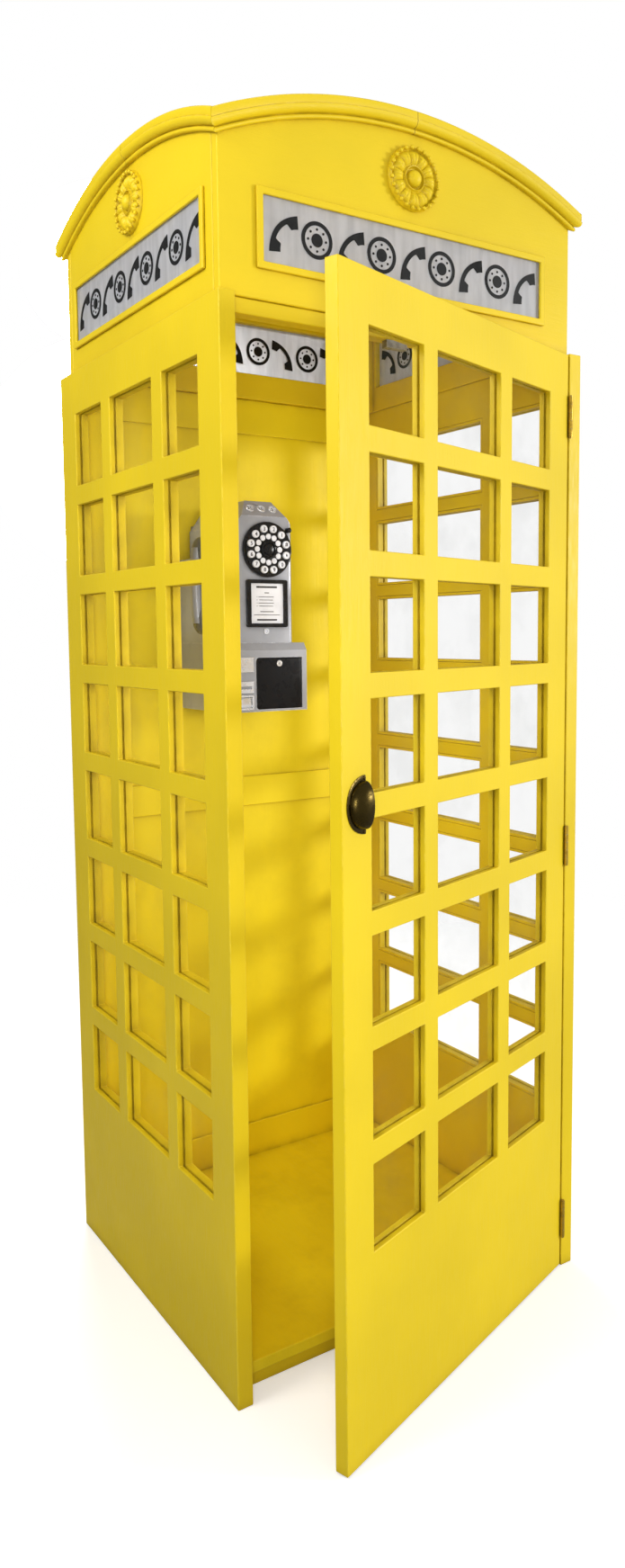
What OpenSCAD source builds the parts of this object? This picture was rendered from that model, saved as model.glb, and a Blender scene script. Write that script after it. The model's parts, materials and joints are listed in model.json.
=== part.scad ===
// Timber telephone kiosk with a three-slot payphone, door standing part open.
// Origin: middle of the footprint on the ground, front towards -Y, +Z up, millimetres.

/* [Kiosk body] */
// Width over the two side frames
body_w = 900; // [760:10:1080]
// Depth over the side frames
body_d = 824; // [700:4:990]
// Height of the side frames, where the sign box begins
shoulder_h = 2112; // [2000:4:2540]
// Thickness of the side and back frames
frame_t = 34; // [28:1:45]
// Width of the side frame stiles
side_stile_w = 91; // [70:1:110]
// Width of the upright glazing bars in the side frames
side_bar_w = 50; // [36:1:60]

/* [Windows] */
// Number of rows of lights
light_rows = 8; // [6:1:8]
// Height of one light
light_h = 164; // [140:1:168]
// Height of the rails between the lights
rail_h = 45; // [30:1:50]
// Height of the rail above the top row
top_rail_h = 97; // [80:1:120]
// Width of the middle light as a multiple of an outer one
middle_ratio = 1.39; // [1:0.01:1.8]
// Depth from the outside face to the glass
glass_set = 12; // [8:1:14]
// Thickness of the glass
glass_t = 4; // [3:0.5:5]
// Width of the rebate that holds the glass
rebate_w = 7; // [5:0.5:9]

/* [Door] */
// Thickness of the door
door_t = 28; // [24:1:34]
// Gap between the door's edges and the side frames
door_gap = 3; // [3:0.5:5]
// Clearance under the door
door_lift = 5; // [3:1:10]
// Width of the door stiles
door_stile_w = 84; // [70:1:100]
// Width of the upright glazing bars in the door
door_bar_w = 46; // [36:1:60]
// Angle at which the door stands open
door_rest = 18.6; // [0:0.1:60]
// Gap between the closed door and the rail it shuts against
door_stop_gap = 2; // [1:0.5:3]
// Length of one hinge
hinge_len = 88; // [70:2:110]
// Radius of the hinge knuckle
knuckle_r = 5; // [4:0.5:7]
// Radius of the hinge pin
hinge_pin_r = 2.5; // [2:0.1:3]
// Thickness of a hinge leaf
leaf_t = 1.2; // [1:0.1:1.3]
// Depth of a hinge leaf into the gap
leaf_d = 24; // [18:1:26]
// Radius of the cup pull's bowl where it meets the door
pull_r = 44; // [35:1:50]
// Height that the cup pull stands off the door
pull_h = 25; // [18:1:30]
// Height of the cup pull's centre above the ground
pull_z = 1207; // [900:1:1300]

/* [Floor and back] */
// Height of the floor's top face
floor_top = 65; // [50:1:90]
// Thickness of the floor board
floor_t = 25; // [18:1:30]
// Width of a floor joist
joist_w = 44; // [30:1:60]
// Width of the back frame's stiles and top rail
back_stile_w = 88; // [60:1:110]
// Underside and top of the back frame's middle rail
back_rail = [1042, 1121];
// Top of the back frame's bottom rail
back_base = 155; // [120:1:200]
// Depth from the back frame's inside face to its panels
back_panel_set = 8; // [4:1:12]
// Thickness of a back panel
back_panel_t = 12; // [9:1:15]
// Height of the rail over the door
header_h = 29; // [25:1:40]

/* [Sign box] */
// Step in from the side frames to the sign box, at the sides
box_inset_side = 15.5; // [10:0.5:20]
// Step in from the side frames' ends to the sign box, front and back
box_inset_end = 26; // [20:0.5:30]
// Thickness of the sign box walls
fascia_t = 22; // [18:1:26]
// Height of the wall at the corners, under the moulding
wall_h = 273; // [250:1:320]
// Rise of the front arch
arch_rise = 99; // [70:1:120]
// Height of the cornice moulding
cornice_h = 38; // [30:1:44]
// Projection of the cornice moulding
cornice_out = 20; // [14:1:26]
// Thickness of the roof shell
roof_t = 12; // [9:1:16]
// Height of the sign glass's visible lower edge above the shoulder
sign_lift = 69; // [55:1:80]
// Visible height of the sign glass
sign_h = 118; // [90:1:130]
// Wall left beside the front and rear signs
sign_margin_end = 90.5; // [60:0.5:120]
// Wall left beside the side signs
sign_margin_side = 65; // [50:0.5:100]
// Width of the sign moulding
moulding_w = 14; // [10:1:18]
// Height of the sign moulding off the wall
moulding_t = 7; // [4:1:10]
// Radius of the round ornament
medal_r = 62; // [40:1:66]

/* [Payphone] */
// Middle of the payphone, left of the kiosk's middle line
phone_x = -56; // [-120:1:60]
// Underside of the payphone
phone_z = 1314; // [1150:1:1400]
// Distance from the wall panel to the payphone's front
phone_depth = 256; // [240:1:280]
// Width of the upper housing
upper_w = 154; // [150:1:170]
// Width of the box beside the upper housing that holds the hook switch
cradle_w = 31; // [28:1:40]
// Height of the lower housing's front
lower_front_h = 148; // [144:1:160]
// Rise and run of the sloping ledge between the housings
ledge = [12, 18];
// Height of the upper housing
upper_h = 303; // [295:1:330]
// Height of the sloping coin head
head_h = 39; // [34:1:50]
// Distance that the coin head leans back
head_lean = 30; // [20:1:40]
// Wall thickness of the housings
shell_t = 3; // [2:0.5:4]
// Radius of the dial plate
dial_r = 66; // [62:1:70]
// Rim of the dial plate outside the push buttons
dial_rim = 7; // [5:0.5:9]
// Radius of a push button
button_r = 9; // [8:0.5:10]
// Travel of a push button
button_travel = 2.5; // [1.5:0.5:3]
// Width of the coin return pocket
return_w = 50; // [44:1:56]
// Distance between the centres of the handset's two cups
handset_span = 168; // [150:1:180]
// Radius of the handset's cups
cup_r = 33; // [28:1:36]

/* [Hidden] */
$fn = 64;

PAINT = [0.94, 0.80, 0.16];
GLASS = [0.85, 0.92, 0.92, 0.35];
STEEL = [0.66, 0.64, 0.58];
BRONZE = [0.22, 0.16, 0.10];
GREY = [0.74, 0.74, 0.73];
BLACK = [0.05, 0.05, 0.05];
WHITE = [0.92, 0.92, 0.90];

eps = 0.5;          // overshoot of a cutter
fit = 0.3;          // seating clearance between fixed pieces
run = 0.05;         // radial clearance of a turning or sliding fit
play = 0.4;         // clearance round a button or flap
door_head_gap = 4;  // above the door
panel_lap = 10;     // a back panel's edge in its groove
post_w = 30;        // corner post of the sign box
screw_r = 1.85;     // shank of a cup pull screw

// Kiosk
half_w = body_w / 2;
half_d = body_d / 2;
inner_w = body_w - 2 * frame_t;
back_in = half_d - frame_t;
light_top = shoulder_h - top_rail_h;
light_z = [for (i = [0 : light_rows - 1]) light_top - (i + 1) * light_h - i * rail_h];
door_w = inner_w - 2 * door_gap;
door_top = shoulder_h - door_head_gap;
door_back = -half_d + door_t;
hinge_x = inner_w / 2 - door_gap / 2;
hinge_y = -half_d - knuckle_r - fit;
hinge_z = [shoulder_h - 138, 1013, 120];
knuckle_n = 5;
knuckle_len = hinge_len / knuckle_n;
stop_y = door_back + door_stop_gap;
pull_x = -door_w / 2 + 58;
pull_wall = 2;
pull_screw_z = pull_r + 2.5;
pull_screw_len = 12;
catch_size = [50, 16, 15];
catch_x = -60;
sill_y = stop_y;
joist_h = floor_top - floor_t;

// Sign box: arches are cut from one sphere, so all four walls meet the roof
box_x = half_w - box_inset_side;
box_y = half_d - box_inset_end;
spring_z = shoulder_h + wall_h;
dome_drop = (box_x * box_x - arch_rise * arch_rise) / (2 * arch_rise);
dome_z = spring_z - dome_drop;
front_arch_r = sqrt(dome_drop * dome_drop + box_x * box_x);
roof_cover = cornice_h - roof_t - 2;
roof_in_r = sqrt(pow(front_arch_r + roof_cover, 2) + box_y * box_y);
sign_lip = 4;
sign_t = 6;
sign_z = shoulder_h + sign_lift;

function columns(len, stile, bar) =
    let (light = (len - 2 * stile - 2 * bar) / (2 + middle_ratio))
    [[stile, light], [stile + light + bar, light * middle_ratio], [len - stile - light, light]];
function wall_half(k) = k % 2 == 0 ? box_x : box_y;
function wall_off(k) = k % 2 == 0 ? box_y : box_x;
function arch_r(k) = sqrt(dome_drop * dome_drop + wall_half(k) * wall_half(k));
// Middle of the space between the sign's moulding and the arch's crown
function medal_z(k) = (sign_z + sign_h + moulding_w + dome_z + arch_r(k)) / 2;
function sign_half(k) = wall_half(k) - (k % 2 == 0 ? sign_margin_end : sign_margin_side);

// Payphone
panel_y = back_in + back_panel_set;
plate_t = 6;
lower_w = upper_w + 2 * cradle_w;
shell_back = panel_y - plate_t;
front_y = panel_y - phone_depth;
low_y = front_y - ledge[0];
ledge_z = phone_z + lower_front_h;
upper_z = ledge_z + ledge[1];
head_z = upper_z + upper_h;
chamfer = [15, 20];
head_top_half = 37;
dial_x = phone_x + 5;
dial_z = head_z - 79;
dial_t = 10;
dial_floor = front_y - 0.5;
button_len = 12;
button_ring_r = dial_r - dial_rim - button_r;
button_back = dial_floor - fit - button_travel;
ring_gap = 3;
dot_r = 7;
dot_ring_r = button_ring_r - button_r - ring_gap - dot_r;
hub_r = dot_ring_r - dot_r - ring_gap;
slope_angle = atan2(head_lean, head_h);
slot_x = [-31, 0, 31];
slot_boss_r = 9;
card = [92, 98];
card_x = phone_x + 3;
card_z = upper_z + 95;
card_frame_t = 7;
return_inset = 13;
vault_inset = 14;
vault_gap = 11;
vault = [lower_w - return_inset - return_w - vault_gap - vault_inset, lower_front_h - 24];
vault_x0 = phone_x + lower_w / 2 - vault_inset - vault[0];
vault_z0 = phone_z + 6;
vault_t = 8;
vault_axis = [vault_x0 + vault[0] - vault_t / 2, low_y + vault_t / 2];
vault_pin_r = 1.5;
vault_pin_out = 3;
vault_lock_x = phone_x + 30;
vault_lock_z = vault_z0 + vault[1] - 14;
lock_r = 6;
upper_lock_x = phone_x + 2;
upper_lock_z = upper_z + 28;
release_x = phone_x + upper_w / 2 - 14;
release_z = head_z - 31;
release_r = 6;
return_x0 = phone_x - lower_w / 2 + return_inset;
return_z0 = phone_z + 8;
return_h = 30;
return_deep = 52;
pocket_t = 2;
flap_t = 2;
flap_axis = [low_y + 2.5, return_z0 + return_h - pocket_t - 2.5];
coin_box_wall = 2;
coin_box_d = 190;
coin_box_h = 96;
chute = [phone_x - 20, shell_back - 90, 40, 14];
cradle_x0 = phone_x - lower_w / 2;
cradle_x1 = phone_x - upper_w / 2;
cradle_y0 = front_y + 50;
cradle_h = 210;
handset_y = front_y + 74;
ear_z = upper_z + 222;
cup_x = cradle_x0 - 12;
cup_len = 30;
grip_r = 11;
prong_r = 3;
prong_angle = 42;
prong_reach = cup_r + prong_r + fit;
lever_z = ear_z - prong_reach * cos(prong_angle);
lever_x = cradle_x0 + shell_t + 13;
lever_pin_r = 3;
lug_t = 5;
lever_half = 12;

// ---------------------------------------------------------------- helpers
module round_box_2d(w, d, r) {
    translate([r, 0]) square([w - 2 * r, d]);
    translate([0, r]) square([w, d - 2 * r]);
    for (x = [r, w - r], y = [r, d - r]) translate([x, y]) circle(r = r);
}
// Blocks that fill every light of a frame lying in the XY plane, grown on all sides
module lights(len, stile, bar, grow, depth) {
    for (c = columns(len, stile, bar), z = light_z)
        translate([c[0] - grow, z - grow, 0])
            cube([c[1] + 2 * grow, light_h + 2 * grow, depth]);
}
// A frame with its lights cut through and rebated from the inside face
module light_frame(len, low, high, t, stile, bar) {
    difference() {
        translate([0, low, 0]) cube([len, high - low, t]);
        translate([0, 0, -eps]) lights(len, stile, bar, 0, t + 2 * eps);
        translate([0, 0, glass_set]) lights(len, stile, bar, rebate_w, t);
    }
}
module light_beads(len, t, stile, bar) {
    difference() {
        translate([0, 0, glass_set + glass_t])
            lights(len, stile, bar, rebate_w - fit, t - glass_set - glass_t - 1);
        lights(len, stile, bar, 0, t + eps);
    }
}
// Lays a flat frame upright: its length along Y, its inside face towards +X
module at_left_side() {
    translate([-half_w, -half_d, 0]) rotate([90, 0, 90]) children();
}
module at_both_sides() {
    at_left_side() children();
    mirror([1, 0, 0]) at_left_side() children();
}
// Lays a flat frame in the doorway: its length along X, its inside face towards +Y
module in_doorway() {
    translate([-door_w / 2, -half_d, 0]) mirror([0, 1, 0]) rotate([90, 0, 0]) children();
}
// Swings a piece drawn on the closed door to where the door stands
module on_door() {
    translate([hinge_x, hinge_y, 0]) rotate([0, 0, door_rest])
        translate([-hinge_x, -hinge_y, 0]) children();
}
// Sets a piece drawn on the front wall of the sign box onto wall k, left, rear or right
module on_wall(k) {
    rotate([0, 0, -90 * k]) children();
}
module cyl_y(r, y0, y1) {
    translate([0, y0, 0]) rotate([-90, 0, 0]) cylinder(r = r, h = y1 - y0);
}
module cyl_x(r, x0, x1) {
    translate([x0, 0, 0]) rotate([0, 90, 0]) cylinder(r = r, h = x1 - x0);
}

// ---------------------------------------------------------------- carcass
module floor_board() color(PAINT)
    translate([-inner_w / 2, sill_y, joist_h])
        cube([inner_w, back_in - sill_y, floor_t]);

module floor_joists() color(PAINT) {
    for (y = [sill_y + 20, -joist_w / 2, back_in - joist_w])
        translate([-inner_w / 2, y, 0]) cube([inner_w, joist_w, joist_h]);
}
module left_side_frame() color(PAINT)
    at_left_side() light_frame(body_d, 0, shoulder_h, frame_t, side_stile_w, side_bar_w);

module right_side_frame() color(PAINT)
    mirror([1, 0, 0]) at_left_side()
        light_frame(body_d, 0, shoulder_h, frame_t, side_stile_w, side_bar_w);

module side_glass() color(GLASS)
    at_both_sides() translate([0, 0, glass_set])
        lights(body_d, side_stile_w, side_bar_w, rebate_w - fit, glass_t);

module side_beads() color(PAINT)
    at_both_sides() light_beads(body_d, frame_t, side_stile_w, side_bar_w);

module back_openings(grow, depth) {
    for (z = [[back_base, back_rail[0]], [back_rail[1], shoulder_h - back_stile_w]])
        translate([-inner_w / 2 + back_stile_w - grow, 0, z[0] - grow])
            cube([inner_w - 2 * back_stile_w + 2 * grow, depth, z[1] - z[0] + 2 * grow]);
}
module back_frame() color(PAINT)
    difference() {
        translate([-inner_w / 2, back_in, 0]) cube([inner_w, frame_t, shoulder_h]);
        translate([0, back_in - eps, 0]) back_openings(0, frame_t + 2 * eps);
        translate([0, panel_y, 0]) back_openings(panel_lap, frame_t);
    }
module back_panels() color(PAINT)
    translate([0, panel_y, 0]) back_openings(panel_lap - fit, back_panel_t);

module header_rail() color(PAINT)
    translate([-inner_w / 2, stop_y, shoulder_h - header_h])
        cube([inner_w, frame_t, header_h]);

// ---------------------------------------------------------------- sign box
module dome_ball(r) {
    translate([0, 0, dome_z]) sphere(r = r, $fn = 360);
}
module sign_block(k, grow, y0, depth) {
    translate([-sign_half(k) - grow, y0, sign_z - grow])
        cube([2 * (sign_half(k) + grow), depth, sign_h + 2 * grow]);
}
module fascia(k) {
    half = k % 2 == 0 ? box_x : box_y - fascia_t - fit;
    intersection() {
        difference() {
            translate([-half, -wall_off(k), shoulder_h])
                cube([2 * half, fascia_t, wall_h + arch_rise + cornice_h]);
            sign_block(k, sign_lip, -wall_off(k) - eps, fascia_t + 2 * eps);
        }
        dome_ball(roof_in_r - fit);
    }
}
module fascias() color(PAINT)
    for (k = [0 : 3]) on_wall(k) fascia(k);

module sign_glass() color(WHITE)
    for (k = [0 : 3]) on_wall(k) sign_block(k, sign_lip - fit, -wall_off(k) + fit, sign_t);

module sign_mouldings() color(PAINT)
    for (k = [0 : 3]) on_wall(k)
        difference() {
            sign_block(k, moulding_w, -wall_off(k) - moulding_t, moulding_t);
            sign_block(k, 0, -wall_off(k) - moulding_t - eps, moulding_t + 2 * eps);
        }
// A round boss with a ring of petals
module medallion() {
    petals = 12;
    rotate([90, 0, 0]) {
        cylinder(r = medal_r, h = 8);
        for (i = [0 : petals - 1]) rotate([0, 0, i * 360 / petals])
            translate([medal_r * 0.7, 0, 0]) cylinder(r = medal_r * 0.17, h = 13);
        cylinder(r = medal_r * 0.48, h = 14);
        cylinder(r = medal_r * 0.24, h = 19);
    }
}
module medallions() color(PAINT)
    for (k = [0 : 3]) on_wall(k) translate([0, -wall_off(k), medal_z(k)]) medallion();

// Stepped moulding bent along the arch, mitred at the corners, in two lengths
module cornice(k) {
    r = arch_r(k);
    out = cornice_out;
    end = wall_half(k) - fit;
    far = cornice_out + 10;
    foot = 90;
    difference() {
        intersection() {
            translate([0, -wall_off(k), dome_z]) rotate([90, 0, 0])
                rotate_extrude($fn = 480)
                    polygon([[r, 0], [r, out * 0.4], [r + cornice_h * 0.2, out * 0.4],
                        [r + cornice_h * 0.2, out * 0.55], [r + cornice_h * 0.5, out * 0.75],
                        [r + cornice_h * 0.56, out], [r + cornice_h, out], [r + cornice_h, 0]]);
            translate([0, 0, spring_z - foot])
                linear_extrude(height = foot + arch_rise + 2 * cornice_h)
                    polygon([[-end, -wall_off(k)], [end, -wall_off(k)],
                        [end + far, -wall_off(k) - far], [-end - far, -wall_off(k) - far]]);
        }
        translate([-fit, -wall_off(k) - far, spring_z])
            cube([2 * fit, 2 * far, arch_rise + 2 * cornice_h]);
    }
}
module cornices() color(PAINT)
    for (k = [0 : 3]) on_wall(k) cornice(k);

module roof_shell() color(PAINT)
    intersection() {
        difference() {
            dome_ball(roof_in_r + roof_t);
            dome_ball(roof_in_r);
        }
        translate([-box_x, -box_y, shoulder_h + wall_h / 2])
            cube([2 * box_x, 2 * box_y, 2 * wall_h]);
    }

module corner_posts() color(PAINT) {
    reach = [box_x - fascia_t - post_w / 2, box_y - fascia_t - post_w / 2];
    for (x = [-1, 1], y = [-1, 1])
        translate([x * reach[0] - post_w / 2, y * reach[1] - post_w / 2, shoulder_h])
            cube([post_w, post_w, wall_h - 5]);
}

// ---------------------------------------------------------------- hinges and catch
// Knuckles and leaf of one hinge; side 1 is the frame's half, side -1 the door's half
module hinge_leaf(side) {
    first = side == 1 ? 0 : 1;
    x0 = side == 1 ? inner_w / 2 - leaf_t : inner_w / 2 - door_gap;
    difference() {
        union() {
            translate([x0, hinge_y, 0]) cube([leaf_t, leaf_d + knuckle_r, hinge_len]);
            for (i = [first : 2 : knuckle_n - 1])
                translate([hinge_x, hinge_y, i * knuckle_len + fit / 2])
                    cylinder(r = knuckle_r, h = knuckle_len - fit);
        }
        for (i = [1 - first : 2 : knuckle_n - 1])
            translate([hinge_x, hinge_y, i * knuckle_len - fit / 2])
                cylinder(r = knuckle_r + fit, h = knuckle_len + fit);
        translate([hinge_x, hinge_y, -eps])
            cylinder(r = hinge_pin_r + run, h = hinge_len + 2 * eps);
    }
}
module frame_hinge_leaves() color(STEEL)
    for (z = hinge_z) translate([0, 0, z - hinge_len / 2]) hinge_leaf(1);

module door_hinge_leaves() color(STEEL)
    on_door() for (z = hinge_z) translate([0, 0, z - hinge_len / 2]) hinge_leaf(-1);

module hinge_pins() color(STEEL)
    for (z = hinge_z) translate([hinge_x, hinge_y, z - hinge_len / 2]) {
        cylinder(r = hinge_pin_r, h = hinge_len);
        translate([0, 0, hinge_len]) cylinder(r = knuckle_r - 1, h = 2);
        translate([0, 0, -2]) cylinder(r = knuckle_r - 1, h = 2);
    }
module catch_magnet() color(STEEL)
    translate([catch_x, stop_y + 1, shoulder_h - header_h - catch_size[2]]) cube(catch_size);

module catch_plate() color(STEEL)
    on_door() translate([catch_x, door_back, shoulder_h - header_h - catch_size[2] - 2])
        cube([catch_size[0], door_stop_gap - fit, catch_size[2]]);

// ---------------------------------------------------------------- door
module pull_screw_holes(r) {
    for (s = [-1, 1]) translate([pull_x, 0, pull_z + s * pull_screw_z])
        cyl_y(r, -half_d - 10, -half_d + pull_screw_len + 2);
}
module door_frame() color(PAINT)
    on_door() difference() {
        in_doorway()
            light_frame(door_w, door_lift, door_top, door_t, door_stile_w, door_bar_w);
        pull_screw_holes(screw_r + 0.1);
    }
module door_glass() color(GLASS)
    on_door() in_doorway() translate([0, 0, glass_set])
        lights(door_w, door_stile_w, door_bar_w, rebate_w - fit, glass_t);

module door_beads() color(PAINT)
    on_door() in_doorway() light_beads(door_w, door_t, door_stile_w, door_bar_w);

// Half bowl with its mouth towards the hinges, a flat rim and an ear at each end
module cup_pull() color(BRONZE) {
    bowl_r = (pull_r * pull_r + pull_h * pull_h) / (2 * pull_h);
    sink = bowl_r - pull_h;
    on_door() difference() {
        translate([pull_x, -half_d, pull_z]) {
            intersection() {
                difference() {
                    translate([0, sink, 0]) sphere(r = bowl_r);
                    translate([0, sink, 0]) sphere(r = bowl_r - pull_wall);
                }
                translate([-2 * pull_r, -2 * pull_r, -2 * pull_r])
                    cube([2 * pull_r, 2 * pull_r, 4 * pull_r]);
            }
            difference() {
                union() {
                    cyl_y(pull_r + 4, -pull_wall, 0);
                    for (s = [-1, 1])
                        translate([0, 0, s * pull_screw_z]) cyl_y(5, -pull_wall, 0);
                }
                cyl_y(pull_r - 4, -pull_wall - eps, eps);
                translate([0, -pull_wall - eps, -pull_r + 6])
                    cube([2 * pull_r, pull_wall + 2 * eps, 2 * pull_r - 12]);
                translate([5, -pull_wall - eps, -2 * pull_r])
                    cube([2 * pull_r, pull_wall + 2 * eps, 4 * pull_r]);
            }
        }
        pull_screw_holes(screw_r + 0.25);
    }
}
module cup_pull_screws() color(BRONZE)
    on_door() for (s = [-1, 1])
        translate([pull_x, -half_d, pull_z + s * pull_screw_z]) {
            cyl_y(screw_r, -pull_wall, pull_screw_len);
            cyl_y(3.4, -pull_wall - 2, -pull_wall);
        }

// ---------------------------------------------------------------- payphone, fixed
module back_plate() color(STEEL)
    translate([phone_x - upper_w / 2 + 6, shell_back, phone_z + 10])
        cube([upper_w - 12, plate_t, head_z - phone_z - 16]);

// Front outline of the upper housing with its two upper corners cut off
module upper_outline(inset) {
    h = upper_w / 2 - inset;
    polygon([[-h, 0], [h, 0], [h, upper_h - chamfer[1] - inset * 0.4],
        [h - chamfer[0], upper_h], [-h + chamfer[0], upper_h],
        [-h, upper_h - chamfer[1] - inset * 0.4]]);
}
module upper_block(inset, y0) {
    intersection() {
        translate([phone_x, shell_back, upper_z]) rotate([90, 0, 0])
            linear_extrude(height = shell_back - y0) upper_outline(inset);
        translate([phone_x - upper_w / 2 + inset, y0, upper_z - eps])
            linear_extrude(height = upper_h + 2 * eps)
                round_box_2d(upper_w - 2 * inset, shell_back - y0 + 20, 9 - inset);
    }
}
module upper_housing() color(GREY)
    difference() {
        upper_block(0, front_y);
        translate([0, 0.01, 0]) upper_block(shell_t, front_y + shell_t);
        translate([upper_lock_x, 0, upper_lock_z]) cyl_y(lock_r + run, front_y - eps, front_y + 9);
        translate([release_x, 0, release_z])
            cyl_y(release_r + play, front_y - eps, front_y + 9);
        translate([cradle_x1 - eps, cradle_y0 + 20, upper_z + cradle_h - 40])
            cube([shell_t + 2 * eps, 40, 30]);
    }

// Sloping head, narrowing and leaning back to its top
module head_block(inset) {
    low_half = upper_w / 2 - chamfer[0] - inset;
    top_half = head_top_half - inset;
    intersection() {
        translate([phone_x, shell_back, head_z]) rotate([90, 0, 0])
            linear_extrude(height = phone_depth)
                polygon([[-low_half, 0], [low_half, 0], [top_half, head_h - inset],
                    [-top_half, head_h - inset]]);
        translate([phone_x - upper_w, 0, head_z]) rotate([90, 0, 90])
            linear_extrude(height = 2 * upper_w)
                polygon([[front_y + inset * 1.3, 0], [shell_back, 0],
                    [shell_back, head_h], [front_y + head_lean + inset * 1.3, head_h]]);
    }
}
// Places a piece on the head's sloping face, its outside towards local -Y
module on_slope(x) {
    translate([phone_x + x, front_y + head_lean / 2, head_z + head_h / 2])
        rotate([-slope_angle, 0, 0]) children();
}
module coin_head() color(GREY)
    difference() {
        head_block(0);
        translate([0, 0, -eps]) head_block(shell_t);
        for (x = slot_x) on_slope(x) cyl_y(slot_boss_r, -eps, 6);
    }
module coin_slot_rings() color(GREY)
    for (x = slot_x) on_slope(x)
        difference() {
            union() {
                cyl_y(slot_boss_r + 2, -1.5, 0);
                cyl_y(slot_boss_r - run, -1.5, 5);
            }
            translate([-1.4, -3, -7.5]) cube([2.8, 12, 15]);
        }

module ring_places(n, r) {
    for (i = [0 : n - 1]) rotate([0, i * 360 / n, 0]) translate([0, 0, r]) children();
}
module dial_plate() color(BLACK)
    translate([dial_x, 0, dial_z]) difference() {
        union() {
            cyl_y(dial_r, front_y - dial_t + 3, front_y);
            cyl_y(dial_r - 4, front_y - dial_t, front_y);
        }
        rotate([0, 15, 0]) ring_places(12, button_ring_r)
            cyl_y(button_r + play, front_y - dial_t - eps, dial_floor);
        ring_places(12, dot_ring_r) cyl_y(dot_r, front_y - dial_t - eps, front_y - dial_t + 2);
        cyl_y(hub_r, front_y - dial_t - eps, front_y - dial_t + 2);
    }
// Raised centre cap and the ring of blank white studs round it
module dial_hub() color(BLACK)
    translate([dial_x, 0, dial_z]) {
        difference() {
            cyl_y(hub_r - run, front_y - dial_t - 5, front_y - dial_t + 2);
            cyl_y(hub_r - 5, front_y - dial_t - 5 - eps, front_y - dial_t - 2);
        }
        ring_places(12, dot_ring_r)
            cyl_y(dot_r - run, front_y - dial_t - 2, front_y - dial_t + 2);
    }
module card_block(grow, y0, y1) {
    translate([card_x - card[0] / 2 - grow, y0, card_z - card[1] / 2 - grow])
        cube([card[0] + 2 * grow, y1 - y0, card[1] + 2 * grow]);
}
module card_frame() color(BLACK)
    difference() {
        translate([card_x - card[0] / 2 - 10, front_y, card_z - card[1] / 2 - 8])
            rotate([90, 0, 0]) linear_extrude(height = card_frame_t)
                round_box_2d(card[0] + 20, card[1] + 16, 5);
        card_block(-1, front_y - card_frame_t - eps, front_y + eps);
        card_block(0.5, front_y - 2.5, front_y + eps);
    }
module instruction_card() color(WHITE)
    card_block(0.2, front_y - 2.2, front_y - fit);

// Lower housing: a box with a sloping ledge and two openings in its front
module lower_profile(inset) {
    polygon([[low_y + inset, phone_z + inset], [shell_back + (inset > 0 ? eps : 0), phone_z + inset],
        [shell_back + (inset > 0 ? eps : 0), upper_z - inset], [front_y + inset, upper_z - inset],
        [low_y + inset, ledge_z - inset * 0.5]]);
}
module lower_block(inset) {
    translate([phone_x - lower_w / 2 + inset, 0, 0]) rotate([90, 0, 90])
        linear_extrude(height = lower_w - 2 * inset) lower_profile(inset);
}
module vault_opening(grow, y0, y1) {
    translate([vault_x0 - grow, y0, vault_z0 - grow])
        cube([vault[0] + 2 * grow, y1 - y0, vault[1] + 2 * grow]);
}
module lower_housing() color(GREY)
    difference() {
        union() {
            difference() {
                lower_block(0);
                lower_block(shell_t);
            }
            intersection() {
                vault_opening(6, low_y + 1, low_y + vault_t + 2);
                lower_block(0);
            }
        }
        vault_opening(0.6, low_y - eps, low_y + vault_t + 2 + eps);
        translate([vault_axis[0], vault_axis[1], vault_z0 - vault_pin_out - 0.2])
            cylinder(r = vault_pin_r + run, h = vault[1] + 2 * vault_pin_out + 0.4);
        translate([return_x0 - fit, low_y - eps, return_z0 - fit])
            cube([return_w + 2 * fit, shell_t + 2 * eps, return_h + 2 * fit]);
        translate([chute[0] - fit, chute[1] - fit, upper_z - shell_t - eps])
            cube([chute[2] + 2 * fit, chute[3] + 2 * fit, shell_t + 2 * eps]);
    }

// Side box that carries the hook switch
module handset_cradle() color(GREY) {
    w = cradle_x1 - cradle_x0;
    d = shell_back - cradle_y0;
    difference() {
        translate([cradle_x0, cradle_y0, upper_z]) cube([w, d, cradle_h]);
        translate([cradle_x0 + shell_t, cradle_y0 + shell_t, upper_z + shell_t])
            cube([w, d - 2 * shell_t, cradle_h - 2 * shell_t]);
        translate([cradle_x0 - eps, handset_y - lever_half - 1, lever_z - 6])
            cube([shell_t + 2 * eps, 2 * lever_half + 2, 22]);
    }
    for (s = [-1, 1]) difference() {
        translate([cradle_x0 + shell_t, s > 0 ? handset_y + lever_half + fit
                : handset_y - lever_half - fit - lug_t, lever_z - 8])
            cube([w - shell_t, lug_t, 16]);
        translate([lever_x, 0, lever_z])
            cyl_y(lever_pin_r + run, handset_y - 40, handset_y + 40);
    }
}
module coin_box() color(STEEL) {
    w = vault[0] - 16;
    translate([vault_x0 + 8, low_y + 18, phone_z + shell_t + fit]) difference() {
        cube([w, coin_box_d, coin_box_h]);
        translate([coin_box_wall, coin_box_wall, coin_box_wall])
            cube([w - 2 * coin_box_wall, coin_box_d - 2 * coin_box_wall, coin_box_h]);
    }
}
module coin_chute() color(STEEL) {
    low = phone_z + 104;
    translate([chute[0], chute[1], low]) difference() {
        cube([chute[2], chute[3], head_z - low - 4]);
        translate([2, 2, -eps]) cube([chute[2] - 4, chute[3] - 4, head_z - low]);
    }
    translate([chute[0] - 5, chute[1] - 5, upper_z]) difference() {
        cube([chute[2] + 10, chute[3] + 10, 2]);
        translate([6, 6, -eps]) cube([chute[2] - 2, chute[3] - 2, 2 + 2 * eps]);
    }
}
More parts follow.
